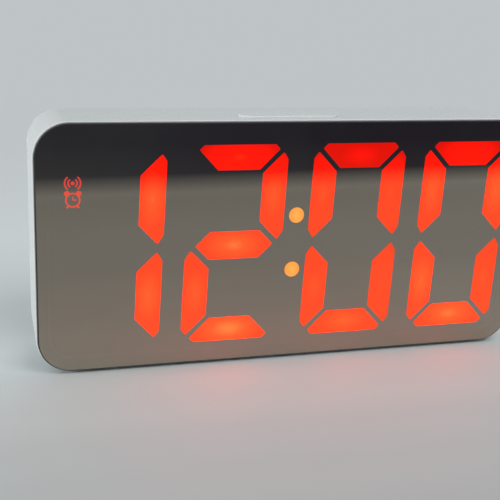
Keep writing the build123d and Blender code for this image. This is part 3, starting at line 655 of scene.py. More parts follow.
CASE_WHITE = (0.72, 0.755, 0.755)
# Painted highlights: the front ring's lip and the top button's rim are painted paler near their edges.
PAINTED_LIP_HIGHLIGHT = PaintedHighlightEdge("Y", FRONT_Y + 2.45, FRONT_Y + 2.2)
PAINTED_RIM_HIGHLIGHT = PaintedHighlightEdge("Z", CASE_MIDDLE + 39.85, CASE_MIDDLE + 39.6)
RED_GLOW = (
    (0.22, (0.18, 0.0, 0.0)),
    (0.50, (0.36, 0.0006, 0.0)),
    (0.80, (0.60, 0.011, 0.0015)),
    (1.00, (0.95, 0.034, 0.007)),
)
AMBER_GLOW = ((0.3, (0.43, 0.125, 0.020)), (1.0, (0.50, 0.20, 0.038)))
SIGN_GLOW = ((0.0, (0.68, 0.030, 0.040)), (1.0, (0.72, 0.034, 0.044)))


class Finish(Enum):
    """Every finish of the clock."""

    MIRROR = HalfMirror("half mirror", (0.395, 0.345, 0.285), 0.97, 0.022)
    PANEL_EDGE = PolishedAcrylic("polished panel edge", (0.022, 0.02, 0.019))
    PANEL_CLEAR = PolishedAcrylic("clear panel back", (0.5, 0.5, 0.5), 0.03, 0.05)
    PANEL_BORDER = MouldedPlastic("black border print", (0.006, 0.006, 0.007), 0.5, 1500.0, 0.002)
    WHITE = MouldedPlastic("white case plastic", CASE_WHITE, 0.30, 2600.0, 0.005, 0.012)
    # The front ring and the top button carry the painted edge highlights.
    WHITE_FRONT = MouldedPlastic("white front plastic", CASE_WHITE, 0.30, 2600.0, 0.005, 0.012, PAINTED_LIP_HIGHLIGHT)
    WHITE_BUTTON = MouldedPlastic("white button plastic", (0.74, 0.77, 0.765), 0.24, 2200.0, 0.003, 0.01, PAINTED_RIM_HIGHLIGHT)
    KEY = MouldedPlastic("pale grey key plastic", (0.50, 0.51, 0.52), 0.38, 2000.0, 0.008)
    BLACK = MouldedPlastic("black frame plastic", (0.008, 0.008, 0.009), 0.48, 1800.0, 0.01)
    DARK_LENS = MouldedPlastic("smoked lens", (0.010, 0.007, 0.007), 0.5, 900.0, 0.004)
    RESIN = MouldedPlastic("black component resin", (0.02, 0.02, 0.022), 0.5, 1600.0, 0.012)
    PLUNGER = MouldedPlastic("brown plunger resin", (0.09, 0.035, 0.02), 0.42, 1500.0, 0.008)
    LED = MouldedPlastic("white chip body", (0.72, 0.71, 0.66), 0.4, 2000.0, 0.003)
    LED_WINDOW = MouldedPlastic("amber chip window", (0.75, 0.42, 0.08), 0.2, 1500.0, 0.002)
    PRINT = MouldedPlastic("grey pad print", (0.16, 0.165, 0.17), 0.55, 1800.0, 0.003)
    BOARD = CircuitBoard("green circuit board")
    STEEL = PlatedMetal("bright plated steel")
    SCREW = PlatedMetal("dark plated screw", (0.20, 0.20, 0.21), 0.32)
    SOLDER = PlatedMetal("solder", (0.60, 0.60, 0.60), 0.30, (1.0, 1.0, 1.0))
    RUBBER = SoftCovering("grey foot rubber", (0.055, 0.056, 0.058), 0.62, 1300.0, 0.03)
    TAPE = SoftCovering("black foam tape", (0.012, 0.012, 0.012), 0.8, 2200.0, 0.05)
    RED_WIRE = SoftCovering("red wire covering", (0.42, 0.02, 0.015), 0.4, 500.0, 0.01)
    BLACK_WIRE = SoftCovering("black wire covering", (0.014, 0.014, 0.015), 0.4, 500.0, 0.01)
    RIBBON = RibbonCovering("ribbon covering", -3.0)
    CELL_LEFT = CellSleeve("cell sleeve with left button", -1.0)
    CELL_RIGHT = CellSleeve("cell sleeve with right button", 1.0)
    LIT_RED = LitLens("lit red lens", RED_GLOW, 4.2)
    LIT_AMBER = LitLens("lit amber lens", AMBER_GLOW, 2.0)
    LIT_SIGN = LitLens("lit sign print", SIGN_GLOW, 1.0)


def smooth(mesh: bpy.types.Mesh, sharp: float) -> None:
    """Shade a mesh smooth, apart from edges above an angle in degrees."""
    mesh.shade_smooth()
    mesh.set_sharp_from_angle(angle=math.radians(sharp))


def linked(name: str, mesh: bpy.types.Mesh, materials: Iterable[Material] = ()) -> Piece:
    """Link a mesh with its materials as a piece at the origin.

    Args:
        name: The piece's name.
        mesh: Its mesh.
        materials: Its materials, by number.

    Returns:
        The piece.
    """
    for material in materials:
        mesh.materials.append(material)
    piece = bpy.data.objects.new(name, mesh)
    bpy.context.scene.collection.objects.link(piece)
    return piece


def settled(piece: Piece) -> Piece:
    """Replace a piece's mesh by what its modifiers make of it, and remove them.

    Args:
        piece: The piece.

    Returns:
        The same piece.
    """
    bpy.context.view_layer.update()
    graph = bpy.context.evaluated_depsgraph_get()
    mesh = bpy.data.meshes.new_from_object(piece.evaluated_get(graph))
    piece.modifiers.clear()
    piece.data = mesh
    return piece


def report(piece: Piece, slot: Slot, *nodes: str, body: Body = Body.CASE) -> None:
    """Let a piece ride on its body, hide the nodes it stands for, and log it.

    Args:
        piece: The finished piece.
        slot: The record's slot that its finish comes from; not used.
        *nodes: The nodes that it replaces.
        body: The body it moves with.
    """
    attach(piece, body.value)
    if nodes:
        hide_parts(*nodes)
    log.info("%s rides on %s, %d faces", piece.name, body.value, len(piece.data.polygons))


def dress(finish: Finish, *nodes: str) -> None:
    """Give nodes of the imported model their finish.

    Args:
        finish: The finish.
        *nodes: The nodes.
    """
    material = finish.value.material()
    for node in nodes:
        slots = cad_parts[node].data.materials
        if not slots:
            slots.append(material)
        for index in range(len(slots)):
            slots[index] = material
        log.info("%s is dressed in %s", node, material.name)


def smooth_copy(
    node: str, name: str, finishes: Sequence[Finish], choose: Optional[Callable[[Vector], int]] = None
) -> Piece:
    """Make a welded copy of a node whose round faces are shaded smooth.

    Args:
        node: The node's name.
        name: The copy's name.
        finishes: The copy's finishes.
        choose: Gives a face's finish from its middle, or None for one finish.

    Returns:
        The copy, with even normals on its flat faces.
    """
    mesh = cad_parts[node].data.copy()
    mesh.name = name
    mesh.materials.clear()
    shape = bmesh.new()
    shape.from_mesh(mesh)
    bmesh.ops.remove_doubles(shape, verts=shape.verts, dist=0.002 * MM)
    for face in shape.faces:
        face.material_index = choose(face.calc_center_median()) if choose else 0
    shape.to_mesh(mesh)
    shape.free()
    for attribute in [a.name for a in mesh.attributes if a.name in ("custom_normal", "sharp_face")]:
        mesh.attributes.remove(mesh.attributes[attribute])
    smooth(mesh, 32.0)
    piece = linked(name, mesh, (finish.value.material() for finish in finishes))
    weights = piece.modifiers.new("even normals", "WEIGHTED_NORMAL")
    weights.mode = "FACE_AREA"
    weights.keep_sharp = True
    return settled(piece)


def stand_in(node: str, name: str, finish: Finish, slot: Slot, body: Body = Body.CASE) -> None:
    """Let a smooth copy stand for a node.

    Args:
        node: The node that it replaces.
        name: The copy's name.
        finish: Its finish.
        slot: The record's slot that the finish comes from.
        body: The body it moves with.
    """
    report(smooth_copy(node, name, [finish]), slot, node, body=body)


class MeshMaker:
    """Collects slabs and rings into one mesh, with a flow map and a heat map for lit faces."""

    def __init__(self, place: Placer) -> None:
        """Start an empty mesh whose points are placed by a function.

        Args:
            place: Places each point.
        """
        self.place = place
        self.shape = bmesh.new()
        maps = self.shape.loops.layers.uv
        for name in ("flow", "heat"):
            maps.new(name)
        self.flow, self.heat = maps["flow"], maps["heat"]

    def loop(self, points: Sequence[Point], depth: float) -> list[bmesh.types.BMVert]:
        """Add a closed row of vertices at a depth."""
        return [self.shape.verts.new(self.place(x, up, depth)) for x, up in points]

    def band(self, first: Sequence[Any], second: Sequence[Any], finish: int = 0) -> None:
        """Join two closed rows of vertices with a band of faces.

        Args:
            first: The first row.
            second: The second row, as long as the first.
            finish: The number of the faces' finish.
        """
        for index in range(len(first)):
            after = (index + 1) % len(first)
            self.cap((first[index], first[after], second[after], second[index]), finish)

    def cap(self, row: Sequence[Any], finish: int = 0) -> Face:
        """Close a row of vertices with one face, in a finish given by its number.

        Args:
            row: The vertices.
            finish: The number of its finish.

        Returns:
            The face.
        """
        face = self.shape.faces.new(row)
        face.material_index = finish
        return face

    def slab(
        self, points: Sequence[Point], near: float, far: float, bevel: float = 0.0, finish: int = 0
    ) -> Face:
        """Add a closed slab with an optional bevel round its near face.

        Args:
            points: The slab's outline.
            near: The depth of the face that is seen.
            far: The depth of the other face.
            bevel: The width of the bevel.
            finish: The number of its finish.

        Returns:
            The face that is seen.
        """
        outline = turned_anticlockwise(points)
        toward = math.copysign(1.0, far - near)
        rows = [self.loop(outline, near + toward * bevel), self.loop(outline, far)]
        if bevel:
            rows.insert(0, self.loop(drawn_in(outline, bevel), near))
        for first, second in zip(rows, rows[1:]):
            self.band(first, second, finish)
        self.cap(rows[-1], finish)
        return self.cap(rows[0], finish)

    def ring(self, centre: Point, outer: float, inner: float, near: float, far: float) -> None:
        """Add a flat ring with square edges.

        Args:
            centre: Its middle.
            outer: Its outer radius.
            inner: Its inner radius.
            near: The depth of the face that is seen.
            far: The depth of the other face.
        """
        wide, narrow = disc(centre, outer, 32), disc(centre, inner, 32)
        rows = [self.loop(wide, near), self.loop(narrow, near), self.loop(narrow, far), self.loop(wide, far)]
        for first, second in zip(rows, rows[1:] + rows[:1]):
            self.band(first, second)

    def map_flow(self, face: Face, start: Vector, end: Vector, across: float, heat: float) -> None:
        """Lay the flow map on a face, from 0 at its start to 1 at its end, and give it a heat.

        Args:
            face: The face that shines.
            start: The middle of the face's first end.
            end: The middle of its last end.
            across: The width of the face.
            heat: How bright its middle is.
        """
        along = end - start
        side = Vector((along.z, 0.0, -along.x)).normalized()
        for corner in face.loops:
            offset = corner.vert.co - start
            corner[self.flow].uv = (offset.dot(along) / along.length_squared, 0.5 + offset.dot(side) / across)
            corner[self.heat].uv = (heat, 0.0)

    def piece(self, name: str, *finishes: Finish) -> Piece:
        """Turn the collected faces into a piece, linked at the origin.

        Args:
            name: The piece's name.
            *finishes: Its finishes, by number.

        Returns:
            The piece.
        """
        bmesh.ops.recalc_face_normals(self.shape, faces=self.shape.faces)
        mesh = bpy.data.meshes.new(name)
        self.shape.to_mesh(mesh)
        self.shape.free()
        smooth(mesh, 35.0)
        return linked(name, mesh, (finish.value.material() for finish in finishes))


class GrowingTree:
    """A Geometry Nodes tree with named inputs, which ends in Set Material and grows plain pieces."""

    def __init__(
        self, name: str, inputs: dict[str, str], nodes: dict[str, str], links: Sequence[str]
    ) -> None:
        """Build the tree.

        Args:
            name: The tree's name.
            inputs: The kind of each named input, apart from the mesh and the finish.
            nodes: The kind of each named node, apart from the first and the last ones.
            links: The links, each as "node.socket > node.socket".
        """
        self.tree = bpy.data.node_groups.new(name, "GeometryNodeTree")
        self.inputs: dict[str, str] = {}
        for label, kind in {"Mesh": "Geometry", **inputs, "Finish": "Material"}.items():
            socket = self.tree.interface.new_socket(label, in_out="INPUT", socket_type=f"NodeSocket{kind}")
            self.inputs[label] = socket.identifier
        self.tree.interface.new_socket("Piece", in_out="OUTPUT", socket_type="NodeSocketGeometry")
        ends = {"given": "NodeGroupInput", "coated": "GeometryNodeSetMaterial", "result": "NodeGroupOutput"}
        kinds = {**ends, **{label: f"GeometryNode{kind}" for label, kind in nodes.items()}}
        self.nodes = {label: self.tree.nodes.new(kind) for label, kind in kinds.items()}
        for way in (*links, "given.Finish > coated.Material", "coated.Geometry > result.Piece"):
            (source, output), (target, socket) = (end.split(".") for end in way.split(" > "))
            self.tree.links.new(self.nodes[source].outputs[output], self.nodes[target].inputs[socket])

    def grow(self, name: str, places: Sequence[Vector], joined: bool, finish: Finish, **values: Any) -> Piece:
        """Run the tree on points or on a path, and give the result as one plain piece.

        Args:
            name: The piece's name.
            places: The points, in metres.
            joined: Whether a path runs through them.
            finish: The piece's finish.
            **values: The value of each named input.

        Returns:
            The piece.
        """
        mesh = bpy.data.meshes.new(name)
        edges = [(index, index + 1) for index in range(len(places) - 1)] if joined else []
        mesh.from_pydata([tuple(place) for place in places], edges, [])
        piece = linked(name, mesh)
        modifier = piece.modifiers.new(self.tree.name, "NODES")
        modifier.node_group = self.tree
        for label, value in {**values, "Finish": finish.value.material()}.items():
            modifier[self.inputs[label]] = value
        settled(piece)
        smooth(piece.data, 40.0)
        return piece


class PointTree(GrowingTree):
    """A tree that puts one small solid on each point of a mesh."""

    def __init__(self, form: Form) -> None:
        """Build the tree for a solid.

        Args:
            form: The solid.
        """
        kind, settings = form.value
        super().__init__(
            f"{form.name.lower()} on points",
            {"Size": "Vector"},
            {"solid": kind, "placed": "InstanceOnPoints", "real": "RealizeInstances"},
            (
                "given.Mesh > placed.Points",
                "solid.Mesh > placed.Instance",
                "given.Size > placed.Scale",
                "placed.Instances > real.Geometry",
                "real.Geometry > coated.Geometry",
            ),
        )
        for socket, value in settings:
            self.nodes["solid"].inputs[socket].default_value = value

    def scatter(self, name: str, places: Sequence[Vector], size: Triple, finish: Finish, slot: Slot) -> None:
        """Put the solid on places, as one piece of the case.

        Args:
            name: The piece's name.
            places: Where the solids go, in metres.
            size: The solid's size in millimetres.
            finish: Its finish.
            slot: The record's slot that the finish comes from.
        """
        report(self.grow(name, places, False, finish, Size=[part * MM for part in size]), slot)


class RibbonTree(GrowingTree):
    """A tree that lays a row of round wires along a path, which is the first wire's."""

    def __init__(self) -> None:
        """Build the tree, with a wire of twelve sides."""
        super().__init__(
            "wires along a path",
            {"Wires": "Int", "Offset": "Vector", "Radius": "Float"},
            {
                "curve": "MeshToCurve",
                "row": "MeshLine",
                "placed": "InstanceOnPoints",
                "real": "RealizeInstances",
                "section": "CurvePrimitiveCircle",
                "tube": "CurveToMesh",
            },
            (
                "given.Mesh > curve.Mesh",
                "given.Wires > row.Count",
                "given.Offset > row.Offset",
                "row.Mesh > placed.Points",
                "curve.Curve > placed.Instance",
                "placed.Instances > real.Geometry",
                "real.Geometry > tube.Curve",
                "given.Radius > section.Radius",
                "section.Curve > tube.Profile Curve",
                "tube.Mesh > coated.Geometry",
            ),
        )
        self.nodes["section"].inputs["Resolution"].default_value = 12
        self.nodes["tube"].inputs["Fill Caps"].default_value = True


@dataclass
class FrontPanel:
    """The half-mirrored acrylic panel with its bevelled edge, border print and tape."""

    width: float = 163.2
    height: float = 78.0
    corner: float = 10.6
    thickness: float = 2.0
    bevel: float = 0.35
    border: float = 5.2
    film_inset: float = 0.05
    film_depth: float = 0.06

    def outline(self, inset: float) -> list[Point]:
        """Give the panel's outline, drawn in by an inset."""
        return rounded_rectangle(self.width - 2 * inset, self.height - 2 * inset, self.corner - inset)

    def build(self) -> None:
        """Build the panel's plate and dress its tape."""
        maker = MeshMaker(from_front)
        rows = [
            maker.loop(self.outline(inset), depth)
            for inset, depth in (
                (self.bevel + self.film_inset, self.film_depth),
                (self.bevel, 0.0),
                (0.0, self.bevel),
                (0.0, self.thickness),
                (self.border, self.thickness),
            )
        ]
        maker.cap(rows[0], 0)
        for first, second, finish in zip(rows, rows[1:], (1, 1, 1, 2)):
            maker.band(first, second, finish)
        maker.cap(rows[-1], 3)
        plate = maker.piece(
            "mirror_plate", Finish.MIRROR, Finish.PANEL_EDGE, Finish.PANEL_BORDER, Finish.PANEL_CLEAR
        )
        report(plate, Slot.MIRROR, "mirror_panel")
        dress(Finish.TAPE, "panel_tape")


@dataclass
class DigitShape:
    """The outline of a leaning seven-segment digit, in millimetres about its middle."""

    half_width: float = 15.85
    half_height: float = 32.1
    lean_share: float = 0.036
    segment_width: float = 8.06
    bar_inset: float = 2.82
    bar_tip: float = 1.56
    bar_inner_inset: float = 9.1
    post_shoulder: float = 4.76
    post_tip_in: float = 1.55
    post_tip_drop: float = 2.45
    post_inner_drop: float = 9.06
    post_foot_rise: float = 1.15
    post_foot_in: float = 1.82
    post_foot_shoulder: float = 3.05
    post_inner_rise: float = 7.48
    middle_half: float = 4.56
    middle_inset: float = 3.18
    led_share: float = 0.135

    def top_bar(self) -> list[Point]:
        """Give the corners of the top bar."""
        wide, high, inner = self.half_width, self.half_height, self.half_height - self.segment_width
        return [
            (-wide + self.bar_inset, high - self.bar_tip),
            (-wide + self.bar_inset + self.bar_tip, high),
            (wide - self.bar_inset - self.bar_tip, high),
            (wide - self.bar_inset, high - self.bar_tip),
            (wide - self.bar_inner_inset, inner),
            (-wide + self.bar_inner_inset, inner),
        ]

    def right_post(self) -> list[Point]:
        """Give the corners of the upper right post."""
        wide, high, inner = self.half_width, self.half_height, self.half_width - self.segment_width
        return [
            (wide, high - self.post_shoulder),
            (wide - self.post_tip_in, high - self.post_tip_drop),
            (inner, high - self.post_inner_drop),
            (inner, self.post_inner_rise),
            (wide - self.post_foot_in, self.post_foot_rise),
            (wide, self.post_foot_rise + self.post_foot_shoulder),
        ]

    def middle_bar(self) -> list[Point]:
        """Give the corners of the middle bar."""
        outer, half = self.half_width - self.middle_inset, self.middle_half
        inner = outer - half
        return [(-outer, 0.0), (-inner, half), (inner, half), (outer, 0.0), (inner, -half), (-inner, -half)]

    def segments(self) -> dict[str, list[Point]]:
        """Give the upright outline of each of the seven segments by name."""
        top, post = self.top_bar(), self.right_post()
        return {
            "top": top,
            "upper_right": post,
            "lower_right": [(x, -y) for x, y in post],
            "bottom": [(x, -y) for x, y in top],
            "lower_left": [(-x, -y) for x, y in post],
            "upper_left": [(-x, y) for x, y in post],
            "middle": self.middle_bar(),
        }

    def axis(self, name: str) -> tuple[Point, Point]:
        """Give the middle line of a segment, from end to end.

        Args:
            name: The segment.

        Returns:
            Both ends of the line.
        """
        line = self.half_height - self.segment_width / 2
        post = self.half_width - self.segment_width / 2
        reach = self.half_width - self.bar_inset
        foot, tip = self.post_foot_rise, self.half_height - self.post_tip_drop
        rises = {"top": line, "bottom": -line, "middle": 0.0}
        ends = {bar: ((-reach, rise), (reach, rise)) for bar, rise in rises.items()}
        for side, across in (("left", -post), ("right", post)):
            ends[f"upper_{side}"] = ((across, tip), (across, foot))
            ends[f"lower_{side}"] = ((across, -foot), (across, -tip))
        return ends[name]

    def lean(self, point: Point, centre: float) -> Point:
        """Slant a point of the upright digit and move it to the digit's middle."""
        return (centre + point[0] + self.lean_share * point[1], point[1])

    def chip_places(self, name: str, centre: float) -> list[Point]:
        """Give the places of a segment's two light chips, for a digit with its middle at centre.

        Args:
            name: The segment.
            centre: The digit's middle.

        Returns:
            The two places.
        """
        step = self.led_share * self.half_height
        (x1, y1), (x2, y2) = self.axis(name)
        line_x, line_y = (x1 + x2) / 2, (y1 + y2) / 2
        if "_" in name:
            rise = math.copysign(self.half_height / 2, line_y)
            pair = [(line_x, rise - step), (line_x, rise + step)]
        else:
            pair = [(-step, line_y), (step, line_y)]
        return [self.lean(point, centre) for point in pair]


@dataclass
class Display:
    """The lenses of the digits, the colon and the alarm sign, in their black light frame."""

    shape: DigitShape = field(default_factory=DigitShape)
    inner_digit: float = 20.09
    outer_digit: float = 58.72
    lens_thickness: float = 1.6
    lens_gap: float = 0.05
    lit_depth: float = 0.02
    corner: float = 0.5
    edge: float = 0.12
    colon_radius: float = 2.55
    colon_rise: float = 9.04
    sign_play: float = 0.02
    heats: ClassVar[dict[str, dict[str, float]]] = {
        "hours_tens": {"upper_right": 0.86, "lower_right": 0.84},
        "hours_ones": {"top": 0.58, "upper_right": 0.76, "middle": 0.98, "lower_left": 0.76, "bottom": 1.1},
        "minutes_tens": {
            "top": 0.34, "upper_right": 0.60, "lower_right": 0.52, "bottom": 0.82, "lower_left": 0.66,
            "upper_left": 0.66,
        },
        "minutes_ones": {
            "top": 0.52, "upper_right": 0.84, "lower_right": 0.62, "bottom": 0.98, "lower_left": 0.86,
            "upper_left": 0.80,
        },
    }

    def centres(self) -> dict[str, float]:
        """Give the middle of each digit by name."""
        inner, outer = self.inner_digit, self.outer_digit
        return dict(zip(self.heats, (-outer, -inner, inner, outer)))

    def names(self, digit: str) -> list[str]:
        """Give the segments that a digit has."""
        return [name for name in self.shape.segments() if digit != "hours_tens" or name != "upper_left"]

    def lit(
        self, maker: MeshMaker, outline: Sequence[Point], ends: Sequence[Point], across: float, heat: float
    ) -> None:
        """Add a lens whose lit face lies in the film.

        Args:
            maker: The mesh that it goes into.
            outline: Its outline.
            ends: The ends of its middle line.
            across: Its width.
            heat: How bright its middle is.
        """
        front = maker.slab(outline, self.lit_depth, LENS_DEPTH + self.lens_thickness, finish=1)
        front.material_index = 0
        maker.map_flow(front, *(from_front(*end, self.lit_depth) for end in ends), across * MM, heat)

    def build_digit(self, digit: str, centre: float) -> None:
        """Build the lenses of one digit, lit and unlit.

        Args:
            digit: The digit's name.
            centre: Its middle, in millimetres from the clock's middle.
        """
        maker = MeshMaker(from_front)
        outlines = self.shape.segments()
        for name in self.names(digit):
            leaning = [self.shape.lean(point, centre) for point in outlines[name]]
            outline = drawn_in(turned_anticlockwise(soften(leaning, self.corner)), self.lens_gap)
            heat = self.heats[digit].get(name)
            if heat is None:
                maker.slab(outline, LENS_DEPTH, LENS_DEPTH + self.lens_thickness, self.edge, 1)
            else:
                ends = [self.shape.lean(point, centre) for point in self.shape.axis(name)]
                self.lit(maker, outline, ends, self.shape.segment_width, heat)
        piece = maker.piece(f"{digit}_digit", Finish.LIT_RED, Finish.DARK_LENS)
        report(piece, Slot.LENS, f"{digit}_lenses")

    def build_colon(self) -> None:
        """Build the colon's two round lenses."""
        maker = MeshMaker(from_front)
        radius = self.colon_radius
        for rise in (-self.colon_rise, self.colon_rise):
            middle = self.shape.lean_share * rise
            ends = [(middle - radius, rise), (middle + radius, rise)]
            self.lit(maker, disc((middle, rise), radius, 48), ends, 2 * radius, 1.0)
        report(maker.piece("colon_dots", Finish.LIT_AMBER, Finish.DARK_LENS), Slot.LENS, "colon_lenses")

    def build_sign(self) -> None:
        """Build the alarm sign, whose lit marks reach up to the film."""
        raised = (FRONT_Y + LENS_DEPTH + self.sign_play) * MM
        coats = [Finish.DARK_LENS, Finish.LIT_SIGN]
        sign = smooth_copy("alarm_sign", "alarm_sign_print", coats, lambda middle: int(middle.y < raised))
        for vertex in sign.data.vertices:
            if vertex.co.y < raised:
                vertex.co.y = (FRONT_Y + self.lit_depth) * MM
        report(sign, Slot.LENS, "alarm_sign")

    def build(self) -> None:
        """Build every lens and dress the light frame."""
        for digit, centre in self.centres().items():
            self.build_digit(digit, centre)
        self.build_colon()
        self.build_sign()
        dress(Finish.BLACK, "light_frame")


@dataclass
class BackPrint:
    """The marks printed on the back over the keys, the slider and the socket."""

    maker: MeshMaker = field(default_factory=lambda: MeshMaker(from_back))
    rise: float = 23.6
    ink: float = 0.04
    stroke: float = 0.32
    face_radius: float = 1.5
    upright_hand: Point = (0.42, 1.0)
    level_hand: Point = (0.36, 0.9)
    arrow_size: float = 1.5
    arrow_foot_share: float = 0.6
    arrow_tip_share: float = 0.9
    arrow_round: float = 0.2
    bell_rise: float = 0.2
    bell_radius: float = 0.95
    bell_waist: Point = (1.0, 0.5)
    bell_lip: Point = (1.45, 0.95)
    clapper_drop: float = 1.4
    clapper_radius: float = 0.36
    sun_radius: float = 0.7
    ray_reach: float = 1.3
    ray_size: Point = (0.55, 0.24)
    rays: int = 8
    line_rise: float = 0.35
    line_length: float = 3.4
    dash_drop: float = 0.45
    dash_pitch: float = 1.25
    dash_length: float = 0.85

    def stamp(self, outline: Sequence[Point]) -> None:
        """Print the inside of an outline."""
        self.maker.slab(outline, self.ink, -self.ink)

    def bar(self, centre: Point, width: float, height: float, turn: float = 0.0) -> None:
        """Print a bar.

        Args:
            centre: Its middle.
            width: Its width.
            height: Its height.
            turn: Its turn in degrees.
        """
        cosine, sine = math.cos(math.radians(turn)), math.sin(math.radians(turn))
        corners = [(x * width / 2, y * height / 2) for x, y in ((-1, -1), (1, -1), (1, 1), (-1, 1))]
        outline = [
            (centre[0] + x * cosine - y * sine, centre[1] + x * sine + y * cosine) for x, y in corners
        ]
        self.stamp(outline)

    def clock_mark(self, x: float) -> None:
        """Print a small clock face with its two hands.

        Args:
            x: Its place in the row.
        """
        self.maker.ring((x, self.rise), self.face_radius, self.face_radius - self.stroke, self.ink, -self.ink)
        self.bar((x, self.rise + self.upright_hand[0]), self.stroke, self.upright_hand[1])
        self.bar((x + self.level_hand[0], self.rise), self.level_hand[1], self.stroke)

    def arrow_mark(self, x: float, way: float) -> None:
        """Print a triangle that points up, way 1, or down, way -1.

        Args:
            x: Its place in the row.
            way: The way that it points.
        """
        foot = self.rise - way * self.arrow_size * self.arrow_foot_share
        tip = self.rise + way * self.arrow_size * self.arrow_tip_share
        corners = [(x - self.arrow_size, foot), (x + self.arrow_size, foot), (x, tip)]
        self.stamp(soften(corners, self.arrow_round, 4))

    def bell_mark(self, x: float) -> None:
        """Print a small bell over its clapper.

        Args:
            x: Its place in the row.
        """
        flare = [(-out, -drop) for out, drop in (self.bell_waist, self.bell_lip)]
        skirt = flare + [(-out, drop) for out, drop in reversed(flare)]
        dome = arc((x, self.rise + self.bell_rise), self.bell_radius, 0, 180, 16)
        self.stamp(dome + [(x + out, self.rise + up) for out, up in skirt])
        self.stamp(disc((x, self.rise - self.clapper_drop), self.clapper_radius, 24))

    def sun_mark(self, x: float) -> None:
        """Print a small sun with its rays.

        Args:
            x: Its place in the row.
        """
        self.stamp(disc((x, self.rise), self.sun_radius, 24))
        for ray in range(self.rays):
            turn = 360 / self.rays * ray
            cosine, sine = math.cos(math.radians(turn)), math.sin(math.radians(turn))
            self.bar((x + self.ray_reach * cosine, self.rise + self.ray_reach * sine), *self.ray_size, turn)

    def power_mark(self, x: float) -> None:
        """Print the mark for direct current: a line over three dashes.

        Args:
            x: Its place in the row.
        """
        self.bar((x, self.rise + self.line_rise), self.line_length, self.stroke)
        for dash in (-1, 0, 1):
            self.bar((x + self.dash_pitch * dash, self.rise - self.dash_drop), self.dash_length, self.stroke)

    def build(self) -> None:
        """Print every mark, as one piece."""
        mode, up, down, alarm = KEY_PLACES
        self.clock_mark(mode)
        self.arrow_mark(up, 1.0)
        self.arrow_mark(down, -1.0)
        self.bell_mark(alarm)
        self.sun_mark(SLIDER_PLACE)
        self.power_mark(SOCKET_PLACE)
        report(self.maker.piece("back_print", Finish.PRINT), Slot.GREY)


class Case:
    """The white two-part case with its feet, screws and back print."""

    def build(self) -> None:
        """Build the whole case."""
        stand_in("front_frame", "case_front_ring", Finish.WHITE_FRONT, Slot.WHITE)
        stand_in("rear_shell", "case_back_shell", Finish.WHITE, Slot.WHITE)
        stand_in("rubber_feet", "round_feet", Finish.RUBBER, Slot.RUBBER)
        stand_in("case_screws", "long_case_screws", Finish.SCREW, Slot.STEEL)
        BackPrint().build()


@dataclass
class Controls:
    """The top button, the rear keys, the slider, the power socket and the buzzer."""

    keys: tuple[Body, ...] = (Body.MODE, Body.UP, Body.DOWN, Body.ALARM)

    def build(self) -> None:
        """Build and dress every control."""
        stand_in("snooze_button", "long_top_button", Finish.WHITE_BUTTON, Slot.WHITE, Body.SNOOZE)
        for body in self.keys:
            stand_in(body.value, f"{body.value}_cap", Finish.KEY, Slot.GREY, body)
            dress(Finish.PLUNGER, body.value.replace("_key", "_plunger"))
        dress(Finish.PLUNGER, "snooze_plunger")
        dress(Finish.RESIN, "key_switches", "snooze_switch", "slider_switch", "socket_tongue")
        dress(Finish.BLACK, "slider_knob")
        stand_in("power_socket", "socket_shell", Finish.STEEL, Slot.STEEL)
        stand_in("buzzer", "round_buzzer", Finish.RESIN, Slot.RESIN)


